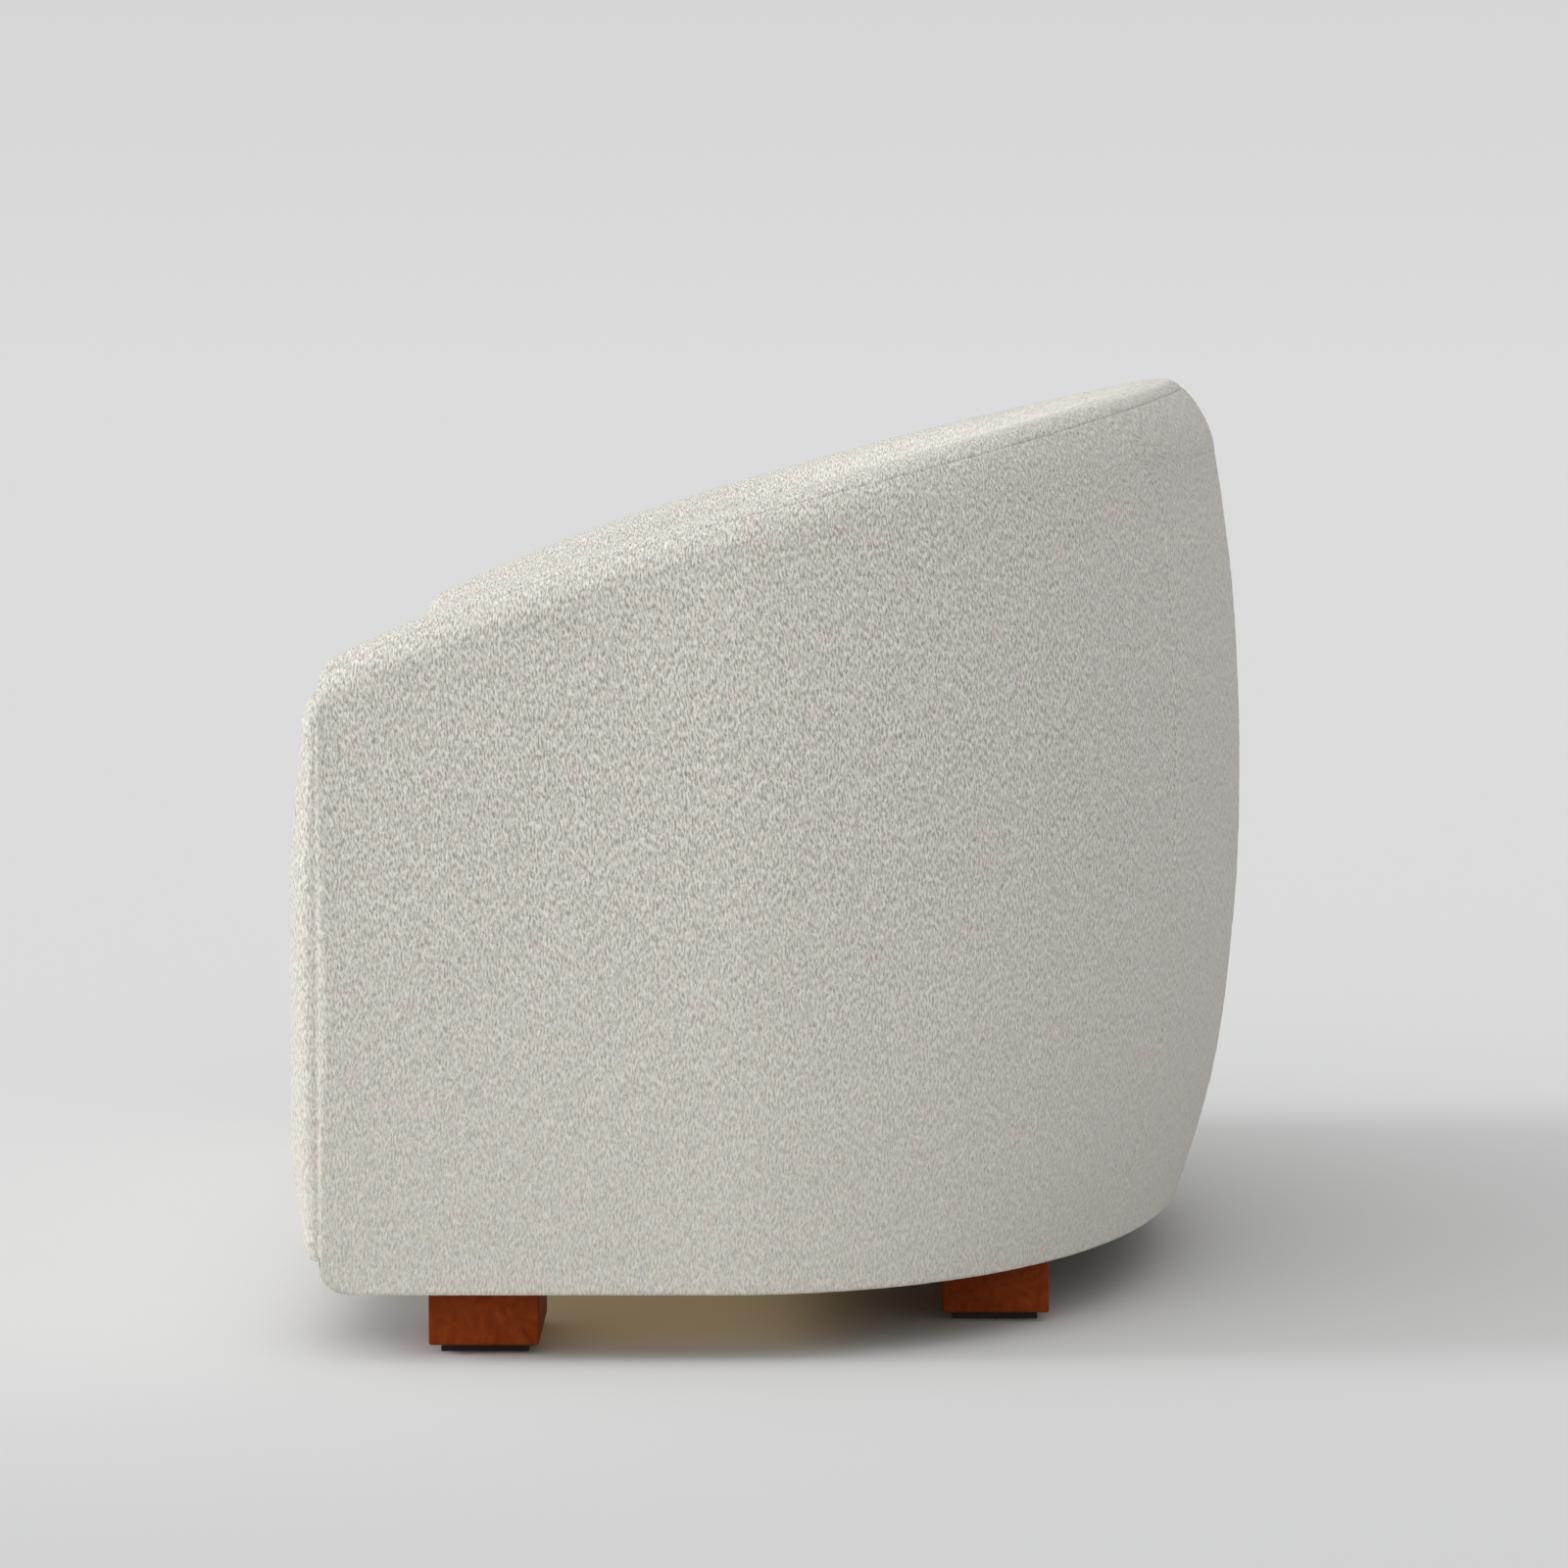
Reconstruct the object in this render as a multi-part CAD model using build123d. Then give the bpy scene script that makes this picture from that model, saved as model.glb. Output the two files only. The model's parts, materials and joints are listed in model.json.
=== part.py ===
from build123d import *
from math import asin, cos, pi, sin, sqrt
import os

# Curved two-seat sofa with a sloping wrap-round back and arms, on four low wooden block legs.
#
# Millimetres. +Z is up, the sofa faces -Y, and +X is the sitter's left arm. The origin is on the
# floor under the middle of the sofa.
#
# The wall (arm, back, arm) is described by a station w along its outer plan line, and by a section
# in the upright plane across the wall at that station:
#     w = 0 is the front of the left arm, w = 1 the end of its straight side, w = 2 the middle of the
#     back, and w = 4 the front of the right arm;
#     n is the distance inwards from the plan line, and z the height.
# Every layer of the wall is lofted through such sections, so the layers nest at even gaps.

# ---- driving dimensions ----------------------------------------------------------------------
WIDTH = 1500.0                      # over the arms
DEPTH = 815.0                       # crown of the arm fronts to the belly of the back
HEIGHT = 788.0                      # crest of the back
HALF_WIDTH = WIDTH / 2
BACK_Y = DEPTH / 2
FRONT_Y = -DEPTH / 2
SEAM_Y = FRONT_Y + 25.5             # seam between side panel and arm front
CURVE_Y = -62.0                     # the straight sides end here and the curved back starts
BACK_RUN = BACK_Y - CURVE_Y         # depth of the half ellipse of the back

UNDERSIDE_Z = 54.0                  # bottom edge of the covers
HEM_LIFT, HEM_LIFT_RUN = 21.7, 34.0 # rise of that edge at the front corner, and where it starts
HEM_LIFT_POWER = 1.27
TOP_CORNER = 14.0                   # radius of the rim's front corner
BELLY_Z = 440.0                     # height at which the outside bulges most
BELLY_LOW, BELLY_LOW_POWER = 56.0, 2.6      # how far the bottom edge is pulled in, at the back
BELLY_HIGH, BELLY_HIGH_POWER = 36.0, 2.0    # the same towards the top
SIDE_BELLY = 0.25                   # share of that belly on the straight sides

RIM_SLOPE, RIM_SAG, RIM_RUN = 175.0, 38.0, 690.0    # fall of the rim from the back to the fronts
CREST_ARM, CREST_BACK = 48.0, 67.0  # distance of the crest from the plan line
SHOULDER_ARM, SHOULDER_BACK = 34.0, 64.0    # height of the outer shoulder of the rim
SHOULDER_POWER_ARM, SHOULDER_POWER_BACK = 1.0, 1.3
SEAM_DROP = 9.0                     # the top seam lies this far below the crest
ROLL = 66.0                         # height of the roll on the seat side of the rim
ARM_LOW, ARM_HIGH = 122.0, 116.0    # thickness of the arm at the deck and under the roll
BACK_LOW, BACK_HIGH = 205.0, 140.0  # thickness of the back there: the inside back leans
REAR_SEAM_W = 1.633                 # seam between side panel and outside back
INSIDE_SEAM_W = 1 + 4 / 9           # seam between inside arm and inside back
STEPS_STRAIGHT, STEPS_CURVE = 4, 9  # facets of the lofts along the straight side and half the back
CORNER_W = (0.035, 0.1)             # extra stations just behind the front corner
WADDING_WIDTHS = 3                  # widths of wadding on the outside back

COVER = 3.0                         # looped-pile cover
GAP = 1.0                           # clearance between layers
SEAM_GAP_W = 0.0007                 # half the clearance at a seam, as a step of the station
WADDING = 10.0
BOARD = 3.0
INSIDE_FOAM = 38.0
TIMBER = 28.0
PLY = 18.0
BASE_Z = UNDERSIDE_Z + 6.0          # underside of the base plate
BASE_WIDTH, BASE_FRONT = 92.0, 150.0        # width of the base plate at the wall and in front
RAIL_TOP_Z = 242.0
DECK_Z = 262.0                      # top of the deck, where the cushions lie
TOP_RAIL = 20.0

SEAT_Z, SEAT_CROWN = 430.0, 12.0    # edge and crown of the cushion top
SEAT_GAP = 2.0                      # clearance of a cushion to the arm, the back and its mate
SEAT_FRONT_Y = -392.0
SEAT_COVER = 2.5

LEG_X, LEG_Y, LEG_FOOT_Z = 165.0, 89.0, 8.0
FRONT_LEG = (700.0, -252.3)         # outer end and middle of a front leg
REAR_LEG = (538.0, 167.6)
GLIDE_INSET_X, GLIDE_INSET_Y, GLIDE_SCREW_R = 20.0, 9.0, 2.0
LEG_EDGE = 1.5
BOLT_R, BOLT_HEAD_R = 4.0, 10.0
FRONT_BOLTS = ((17.5, -22.0), (17.5, 22.0))     # bolts from the leg's middle: inboard, and back
REAR_BOLTS = ((-30.0, 30.0), (14.0, 30.0))      # behind the curved seat rail

SPRING_WIRE_R, SPRING_BAR, SPRING_WIDTH = 1.9, 30.0, 44.0
SPRING_PITCH, SPRINGS_EACH_SIDE = 138.0, 4
SPRING_Z = RAIL_TOP_Z + 3.0

SEAT_RAIL_ARM, SEAT_RAIL_BACK = 84.0, 150.0         # outer face of the seat rail from the plan line
FRAME_Y = SEAM_Y + 1.0              # front face of the timber
BLOCK, BLOCK_HEIGHT = 60.0, 140.0   # leg of a corner block's triangle, and its height
STUD_FOOT = 45.0
STRAPS, STRAP_HALF_W = 9, 0.026     # webbing straps up the inside back
BORDER = 14.0                       # padding in front of the front rail
DUST_Z, DUST_CLOTH = BASE_Z - 2.0, 1.0              # dust cover under the base plate
CENTRE_RAIL_Z = 200.0               # top of the centre rail, clear of the springs
FELT, DECK_PAD, DECK_CLOTH = 2.5, 8.0, 2.0

FRAME_OUT = COVER + WADDING + BOARD + 4 * GAP       # depth at which the timber starts
FRAME_IN = COVER + INSIDE_FOAM + 3 * GAP + 3        # the same from the inside face
RAIL_DROP = ROLL + 1.0              # top of the rim rail below the crest
RIGHT_ANGLE = pi / 2
parts = {}


# ---- the shape of the wall -------------------------------------------------------------------
def turn(w):
    """Angle round the half ellipse: 0 at the end of the straight side, 90 degrees at the back."""
    return max(0.0, (min(w, 4 - w) - 1) * RIGHT_ANGLE)


def mix(arm, back, w):
    """A size that changes smoothly from the arm to the middle of the back."""
    return arm + (back - arm) * sin(turn(w)) ** 2


def plan(w):
    """Point of the outer plan line at station w, and the unit normal into the sofa."""
    if w > 2:
        (x, y), (nx, ny) = plan(4 - w)
        return (-x, y), (-nx, ny)
    if w <= 1:
        return (HALF_WIDTH, SEAM_Y + w * (CURVE_Y - SEAM_Y)), (-1.0, 0.0)
    t = turn(w)
    nx, ny = -cos(t) / HALF_WIDTH, -sin(t) / BACK_RUN
    length = sqrt(nx * nx + ny * ny)
    return (HALF_WIDTH * cos(t), CURVE_Y + BACK_RUN * sin(t)), (nx / length, ny / length)


def at(w, n, z):
    (x, y), (nx, ny) = plan(w)
    return Vector(x + n * nx, y + n * ny, z)


def crest_n(w):
    return mix(CREST_ARM, CREST_BACK, w)


def behind_seam(w):
    """Distance of a station behind the front seam."""
    return min(w, 4 - w) * (CURVE_Y - SEAM_Y)


def crest_z(w):
    """Height of the rim: a gentle convex fall from the back, and a quarter round at the front corner."""
    s = (BACK_Y - CREST_BACK - at(w, crest_n(w), 0).Y) / RIM_RUN
    short = max(0.0, TOP_CORNER - behind_seam(w))
    corner = TOP_CORNER - sqrt(TOP_CORNER ** 2 - short ** 2)
    return HEIGHT - RIM_SLOPE * s - RIM_SAG * s ** 4 - corner


def hem_z(w):
    """Height of the bottom edge of the covers, which lifts at the front corner."""
    return UNDERSIDE_Z + HEM_LIFT * max(0.0, 1 - behind_seam(w) / HEM_LIFT_RUN) ** HEM_LIFT_POWER


def belly(w, z):
    """How far the outside stands in from the plan line at height z."""
    low = max(0.0, (BELLY_Z - z) / (BELLY_Z - UNDERSIDE_Z))
    high = max(0.0, (z - BELLY_Z) / (HEIGHT - BELLY_Z))
    return mix(SIDE_BELLY, 1, w) * (BELLY_LOW * low ** BELLY_LOW_POWER
                                    + BELLY_HIGH * high ** BELLY_HIGH_POWER)


def inside_n(w, z):
    """Distance from the plan line to the inside face, which leans back as it rises."""
    share = max(0.0, (z - DECK_Z) / (crest_z(w) - ROLL - DECK_Z))
    low, high = mix(ARM_LOW, BACK_LOW, w), mix(ARM_HIGH, BACK_HIGH, w)
    return low + (high - low) * share


def spaced(a, b, count):
    return [a + (b - a) * i / (count - 1) for i in range(count)]


def shoulder(w):
    """Height and roundness power of the outer shoulder of the rim."""
    return mix(SHOULDER_ARM, SHOULDER_BACK, w), mix(SHOULDER_POWER_ARM, SHOULDER_POWER_BACK, w)


def shoulder_angle(w, z, depth):
    """Angle on the shoulder at height z: 0 where it leaves the upright side, 90 degrees at the crest."""
    height, power = shoulder(w)
    rise = (z - crest_z(w) + height) / (height - depth)
    return asin(min(1.0, max(0.0, rise) ** (1 / power)))


def shoulder_run(w, depth, a_from, a_to, count=5):
    height, power = shoulder(w)
    low = crest_z(w) - height
    reach = crest_n(w) - belly(w, low) - depth
    return [(crest_n(w) - reach * abs(cos(a)) ** power, low + (height - depth) * sin(a) ** power)
            for a in spaced(a_from, a_to, count)]


def seam_angle(w):
    """Angle on the outer shoulder at which the top seam lies."""
    return shoulder_angle(w, crest_z(w) - SEAM_DROP, 0)


def outside_n(w, z, depth):
    """Distance from the plan line to the outside at height z, on the upright side or the shoulder."""
    if z <= crest_z(w) - shoulder(w)[0]:
        return belly(w, z) + depth
    angle = shoulder_angle(w, z, depth)
    return shoulder_run(w, depth, angle, angle, 2)[0][0]


def outside_run(w, depth, z_from, z_to, count=9):
    return [(outside_n(w, z, depth), z) for z in spaced(z_from, z_to, count)]


def roll_run(w, depth, a_from, a_to, count=6):
    """Roll on the seat side by angle: 90 degrees is the crest, 0 where it meets the inside face."""
    low = crest_z(w) - ROLL
    reach = inside_n(w, low) - crest_n(w) - depth
    return [(crest_n(w) + reach * cos(a), low + (ROLL - depth) * sin(a))
            for a in spaced(a_from, a_to, count)]


def inside_run(w, depth, z_from, z_to):
    """The inside face is straight in section above the deck."""
    return [(inside_n(w, z) - depth, z) for z in (z_from, z_to)]


def arm_outline(shrink_n, shrink_z):
    """Outline of the arm at its front, drawn in towards its middle by a factor each way."""
    top = crest_z(0)
    foot = hem_z(0)
    points = (outside_run(0, 0, foot, top - shoulder(0)[0], 7)
              + shoulder_run(0, 0, 0, RIGHT_ANGLE)[1:] + roll_run(0, 0, RIGHT_ANGLE, 0)[1:]
              + [(inside_n(0, z), z) for z in spaced(top - ROLL, foot, 6)[1:]])
    n_mid, z_mid = ARM_LOW / 2, (top + foot) / 2
    return [(n_mid + (n - n_mid) * shrink_n, z_mid + (z - z_mid) * shrink_z) for n, z in points]


def seat_rail_n(w):
    """Outer face of the curved seat rail."""
    return mix(SEAT_RAIL_ARM, SEAT_RAIL_BACK, w)


# ---- solids ----------------------------------------------------------------------------------
def keep(name, *solids):
    parts[name] = solids


def mirrored(solid):
    return solid.mirror(Plane.YZ)


def box(x0, x1, y0, y1, z0, z1):
    return Pos((x0 + x1) / 2, (y0 + y1) / 2, (z0 + z1) / 2) * Box(x1 - x0, y1 - y0, z1 - z0)


def rod(x, y, z0, z1, radius):
    return Pos(x, y, (z0 + z1) / 2) * Cylinder(radius, z1 - z0)


def closed_wire(runs):
    """Closed wire through runs of points: two points make a line, more make a spline."""
    edges = []
    for i, run in enumerate(runs):
        edges.append(Edge.make_line(*run) if len(run) == 2 else Edge.make_spline(run))
        following = runs[(i + 1) % len(runs)][0]
        if (run[-1] - following).length > 1e-6:
            edges.append(Edge.make_line(run[-1], following))
    return Wire(edges)


def stations(w0, w1):
    """Stations from w0 to w1, at the same marks for every layer so that the layers nest."""
    marks = spaced(0, 1, STEPS_STRAIGHT + 1) + list(CORNER_W) + spaced(1, 2, STEPS_CURVE + 1)[1:]
    marks += [4 - m for m in marks[:-1]]
    return [w0] + [m for m in sorted(marks) if w0 + 0.02 < m < w1 - 0.02] + [w1]


def wall(w0, w1, section):
    """Loft a closed section, given as runs of (n, z), along the wall."""
    wires = [closed_wire([[at(w, n, z) for n, z in run] for run in section(w)])
             for w in stations(w0, w1)]
    return Solid.make_loft(wires, ruled=True)


def polygon_runs(corners):
    return [[corner, following] for corner, following in zip(corners, corners[1:] + corners[:1])]


def bar(w0, w1, n0, n1, z0, z1):
    """A bar of rectangular section along the wall; each side may be a number or a function of w."""
    def value(side, w):
        return side(w) if callable(side) else side

    def section(w):
        a, b, c, d = (value(side, w) for side in (n0, n1, z0, z1))
        return polygon_runs([(a, c), (b, c), (b, d), (a, d)])
    return wall(w0, w1, section)


def outside_cover(w0, w1):
    """Cover of the outside, from the hem to the top seam."""
    def section(w):
        def face(d):
            side = outside_run(w, d, hem_z(w), crest_z(w) - shoulder(w)[0])
            return side, shoulder_run(w, d, 0, seam_angle(w))
        (side, top), (inner_side, inner_top) = face(0), face(COVER)
        return [side, top, inner_top[::-1], inner_side[::-1]]
    return wall(w0, w1, section)


def outside_layer(w0, w1, depth, thickness, lift):
    """Layer under the outside cover, from just over the hem to the foot of the rim foam."""
    def section(w):
        low, high = hem_z(w) + lift, crest_z(w) - RAIL_DROP
        return [outside_run(w, depth, low, high), outside_run(w, depth + thickness, high, low)]
    return wall(w0, w1, section)


def top_layer(w0, w1, depth, thickness):
    """Band over the rim, from the top seam to the foot of the roll."""
    def section(w):
        def face(d):
            return shoulder_run(w, d, seam_angle(w) + 0.02, RIGHT_ANGLE), roll_run(w, d, RIGHT_ANGLE, 0)
        (top, roll), (inner_top, inner_roll) = face(depth), face(depth + thickness)
        return [top, roll, inner_roll[::-1], inner_top[::-1]]
    return wall(w0, w1, section)


def rim_foam(w0, w1):
    """Solid roll of foam on the rim rail."""
    depth = COVER + GAP

    def section(w):
        side = outside_run(w, depth, crest_z(w) - ROLL, crest_z(w) - shoulder(w)[0], 2)
        return [side, shoulder_run(w, depth, 0, RIGHT_ANGLE), roll_run(w, depth, RIGHT_ANGLE, 0)]
    return wall(w0, w1, section)


def inside_layer(w0, w1, depth, thickness):
    """Layer of the inside, from just under the roll down to the deck."""
    def section(w):
        top, foot = crest_z(w) - RAIL_DROP, DECK_Z + 2
        return [inside_run(w, depth, top, foot), inside_run(w, depth + thickness, foot, top)]
    return wall(w0, w1, section)


def plan_face(outer_n, front_y, notch=0.0):
    """Flat face whose edge lies outer_n(w) inside the plan line, closed by a straight front.

    A notch sets the front back by that much under each arm, where the covers lift.
    """
    back = [at(w, outer_n(w), 0) for w in stations(1, 3)]
    side, arm = back[0].X, HALF_WIDTH - ARM_LOW - GAP
    front = [(-side, notch), (-arm, notch), (-arm, 0), (arm, 0), (arm, notch), (side, notch)]
    front = front if notch else [(-side, 0), (side, 0)]
    corners = [Vector(x, front_y + step, 0) for x, step in front]
    return Face(Wire.make_polygon(corners + back, close=True))


def slab(face, z, height):
    return Pos(0, 0, z) * extrude(face, height)


# ---- outer and inner covers, padding, boards -------------------------------------------------
def make_wall():
    """Three lengths of each layer: the two arms mirror one another, and the back joins them.

    The padding starts a little behind the front seam, where the covers roll in.
    """
    rear, inner = REAR_SEAM_W, INSIDE_SEAM_W
    wadding_depth = COVER + GAP
    board_depth = wadding_depth + WADDING + GAP
    layers = {
        "side_cover": ("outside_back_cover", rear, outside_cover),
        "side_wadding": ("outside_back_wadding", rear, lambda a, b: outside_layer(
            a, b, wadding_depth, WADDING, 4)),
        "side_board": ("outside_back_board", rear, lambda a, b: outside_layer(
            a, b, board_depth, BOARD, 8)),
        "arm_top_cover": ("back_top_cover", rear, lambda a, b: top_layer(a, b, 0, COVER)),
        "arm_top_foam": ("back_top_foam", rear, rim_foam),
        "inside_arm_cover": ("inside_back_cover", inner, lambda a, b: inside_layer(a, b, 0, COVER)),
        "inside_arm_foam": ("inside_back_foam", inner, lambda a, b: inside_layer(
            a, b, COVER + GAP, INSIDE_FOAM)),
    }
    for name, (back_name, split, make) in layers.items():
        left = make(0 if name.endswith("cover") else CORNER_W[0], split - SEAM_GAP_W)
        keep(name + "_left", left)
        keep(name + "_right", mirrored(left))
        ends = spaced(split, 4 - split, WADDING_WIDTHS + 1 if name == "side_wadding" else 2)
        keep(back_name, *[make(a + SEAM_GAP_W, b - SEAM_GAP_W) for a, b in zip(ends, ends[1:])])

    support_depth = COVER + INSIDE_FOAM + 2 * GAP
    board = inside_layer(CORNER_W[1], inner - 0.02, support_depth, 2.5)
    keep("inside_arm_boards", board, mirrored(board))
    keep("back_webbing", *[inside_layer(w - STRAP_HALF_W, w + STRAP_HALF_W, support_depth, 2.0)
                           for w in spaced(inner + 0.06, 4 - inner - 0.06, STRAPS)])


def crowned(depth, from_y):
    """Crowned pad on the front of the left arm, its faces drawn in by a depth."""
    reach = SEAM_Y - GAP - FRONT_Y - depth
    half_n, half_z = ARM_LOW / 2, (crest_z(0) - hem_z(0)) / 2
    wires = []
    for rise in (0.0, 0.25, 0.5, 0.7, 0.85, 0.95, 1.0):
        shrink = 1 - (0.965 * rise) ** 3
        outline = arm_outline(shrink * (1 - depth / half_n), shrink * (1 - depth / half_z))
        y = from_y if rise == 0 else SEAM_Y - GAP - rise * reach
        wires.append(Wire.make_polygon([Vector(HALF_WIDTH - n, y, z) for n, z in outline], close=True))
    return Solid.make_loft(wires, ruled=True)


def make_arm_fronts():
    outer, inner = crowned(0, SEAM_Y - GAP), crowned(COVER, SEAM_Y + 1)
    cover = outer - inner
    pad = crowned(COVER + GAP, SEAM_Y - GAP)
    for name, solid in (("arm_front_cover", cover), ("arm_front_pad", pad)):
        keep(name + "_left", solid)
        keep(name + "_right", mirrored(solid))


def make_front_border():
    """Padded front under the cushions, between the two arm fronts."""
    half = HALF_WIDTH - ARM_LOW - GAP

    def profile(inset, back_y):
        low, high, front = UNDERSIDE_Z + inset, DECK_Z - inset, SEAM_Y - GAP - BORDER + inset
        edge, near = front + BORDER / 2, front + BORDER / 9
        run = [Vector(-half + inset, y, z) for y, z in (
            (back_y, low), (edge, low), (near, low + BORDER), (front, (low + high) / 2),
            (near, high - BORDER), (edge, high), (back_y, high))]
        return extrude(Face(Wire.make_polygon(run, close=True)), dir=(1, 0, 0), amount=2 * (half - inset))
    cover = profile(0, SEAM_Y - GAP) - profile(COVER, SEAM_Y + 1)
    keep("front_border_cover", cover)
    keep("front_border_pad", profile(COVER + GAP, SEAM_Y - GAP))


# ---- timber frame ----------------------------------------------------------------------------
def make_frame():
    floor = BASE_Z + PLY + GAP

    def base_n(w):
        return belly(w, BASE_Z) + FRAME_OUT
    ring = plan_face(base_n, FRAME_Y, HEM_LIFT_RUN) - plan_face(
        lambda w: base_n(w) + BASE_WIDTH, FRAME_Y + BASE_FRONT)
    base = slab(ring, BASE_Z, PLY)
    for x, y in bolt_places():
        base -= rod(x, y, BASE_Z - 1, floor, BOLT_R + 0.4)
    keep("base_plate", base)

    rail_x = HALF_WIDTH - SEAT_RAIL_ARM
    keep("front_rail", box(-rail_x, rail_x, FRAME_Y, FRAME_Y + TIMBER, floor, RAIL_TOP_Z))
    side = box(rail_x - TIMBER, rail_x, FRAME_Y + TIMBER + GAP, CURVE_Y - GAP, floor, RAIL_TOP_Z)
    keep("seat_rail_left", side)
    keep("seat_rail_right", mirrored(side))
    keep("seat_rail_back", bar(1, 3, seat_rail_n, lambda w: seat_rail_n(w) + TIMBER, floor, RAIL_TOP_Z))
    back_y = at(2, seat_rail_n(2) + TIMBER + GAP, 0).Y
    keep("centre_rail", box(-TIMBER / 2, TIMBER / 2, FRAME_Y + TIMBER + GAP, back_y, floor, CENTRE_RAIL_Z))

    x, y = rail_x - TIMBER - GAP, FRAME_Y + TIMBER + GAP
    triangle = [Vector(x, y, floor), Vector(x - BLOCK, y, floor), Vector(x, y + BLOCK, floor)]
    block = extrude(Face(Wire.make_polygon(triangle, close=True)), BLOCK_HEIGHT, (0, 0, 1))
    keep("corner_blocks", block, mirrored(block))

    def under_rim(w):
        return crest_z(w) - RAIL_DROP - TOP_RAIL

    def rail_outer(w):
        return outside_n(w, crest_z(w) - RAIL_DROP, 0) + FRAME_OUT + 1

    def rail_inner(w):
        return inside_n(w, crest_z(w) - ROLL) - FRAME_IN
    split = REAR_SEAM_W
    rail = bar(0.1, split - 0.002, rail_outer, rail_inner, under_rim, lambda w: crest_z(w) - RAIL_DROP)
    keep("top_rail_left", rail)
    keep("top_rail_right", mirrored(rail))
    keep("top_rail_back", bar(split + 0.002, 4 - split - 0.002, rail_outer, rail_inner, under_rim,
                              lambda w: crest_z(w) - RAIL_DROP))

    def stud(w, half_w):
        """Upright that leans with the wall, from the base plate to the rim rail."""
        def section(v):
            top = under_rim(v) - 3
            low_outer = belly(v, BASE_Z) + FRAME_OUT
            corners = [(low_outer, floor), (low_outer + STUD_FOOT, floor), (rail_inner(v), top),
                       (rail_outer(v), top)]
            return polygon_runs(corners)
        return wall(w - half_w, w + half_w, section)
    arm_studs = [stud(0.12, 0.044), stud(0.55, 0.044), stud(0.95, 0.03), stud(1.3, 0.014)]
    keep("arm_studs_left", *arm_studs)
    keep("arm_studs_right", *[mirrored(s) for s in arm_studs])
    keep("back_studs", *[stud(w, 0.012) for w in (1.6, 1.8, 2.0, 2.2, 2.4)])


# ---- suspension and deck ---------------------------------------------------------------------
def back_rail_y(x):
    """Front face of the curved seat rail at a distance x from the middle."""
    low, high = 1.0, 2.0
    for _ in range(40):
        w = (low + high) / 2
        low, high = (w, high) if at(w, seat_rail_n(w) + TIMBER, 0).X > x else (low, w)
    return at(low, seat_rail_n(low) + TIMBER, 0).Y


def spring(x):
    """Sinuous spring from the front rail to the curved rail, with its ends lying on both."""
    start = FRAME_Y + TIMBER / 2
    end = back_rail_y(abs(x) + SPRING_WIDTH / 2)
    first = FRAME_Y + TIMBER + SPRING_BAR
    bars = int((end - SPRING_BAR - first) / SPRING_BAR) // 2 * 2
    points = [(x, start), (x, first)]
    for i in range(bars + 1):
        side = SPRING_WIDTH / 2 * (1 if i % 2 else -1)
        y = first + i * SPRING_BAR
        points += [(x + side, y), (x + side, y + SPRING_BAR)] if i < bars else []
    points += [(x, first + bars * SPRING_BAR), (x, back_rail_y(abs(x)) + TIMBER / 2)]
    path = FilletPolyline(*[(px, py, SPRING_Z) for px, py in points], radius=SPRING_BAR * 0.42)
    section = Plane(origin=path @ 0, z_dir=path % 0) * Circle(SPRING_WIRE_R)
    return sweep(section, path=path), points


def make_suspension():
    places = [side * (i + 0.5) * SPRING_PITCH for i in range(SPRINGS_EACH_SIDE) for side in (-1, 1)]
    springs, clips = [], []
    for x in places:
        solid, points = spring(x)
        springs.append(solid)
        for y in (points[0][1], points[-1][1]):
            clips.append(box(x - 7, x + 7, y - 9, y + 9, RAIL_TOP_Z + 0.05, RAIL_TOP_Z + 1.0))
    keep("seat_springs", *springs)
    keep("spring_clips", *clips)

    z = SPRING_Z + SPRING_WIRE_R + GAP
    for name, thickness in (("spring_felt", FELT), ("deck_pad", DECK_PAD), ("deck_cover", DECK_CLOTH)):
        face = plan_face(lambda w: seat_rail_n(w) + 2, FRAME_Y + 1)
        keep(name, slab(face, z, thickness))
        z += thickness + GAP


def make_dust_cover():
    edge = plan_face(lambda w: belly(w, UNDERSIDE_Z) + FRAME_OUT, FRAME_Y, HEM_LIFT_RUN)
    sheet = slab(edge, DUST_Z, DUST_CLOTH)
    for x, y in bolt_places():
        sheet -= rod(x, y, DUST_Z - 1, DUST_Z + DUST_CLOTH + 1, BOLT_R + 1)
    keep("dust_cover", sheet)


# ---- loose seat cushions ---------------------------------------------------------------------
def cushion(inset):
    """Left seat cushion: straight at the front and the middle, curved along the arm and the back."""
    levels = ((DECK_Z + GAP, 12.0), (DECK_Z + 10, 2.5), (DECK_Z + 24, 0.0), (SEAT_Z - 28, 0.0),
              (SEAT_Z - 10, 4.0), (SEAT_Z, 14.0), (SEAT_Z + SEAT_CROWN * 0.7, 45.0),
              (SEAT_Z + SEAT_CROWN, 110.0))
    top, foot = levels[-1][0], levels[0][0]
    wires = []
    for z, pulled in levels:
        z = foot + inset + (z - foot) * (top - foot - 2 * inset) / (top - foot)
        d = pulled + inset + SEAT_GAP
        back = [at(w, inside_n(w, min(z, SEAT_Z)) + d, z) for w in spaced(1, 2, STEPS_CURVE + 1)]
        back = [p for p in back if p.X > d + 20] + [Vector(d, back[-1].Y, z)]
        side, middle = back[0].X, back[-1].X
        front = SEAT_FRONT_Y + d - SEAT_GAP
        corners = [Vector(middle, front, z), Vector(side, front, z)] + back
        wires.append(Wire.make_polygon(corners, close=True))
    return Solid.make_loft(wires, ruled=True)


def make_cushions():
    outer, inner, core = cushion(0), cushion(SEAT_COVER), cushion(SEAT_COVER + GAP)
    cover = outer - inner
    for name, solid in (("seat_cushion_cover", cover), ("seat_cushion_core", core)):
        keep(name + "_left", solid)
        keep(name + "_right", mirrored(solid))


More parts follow.
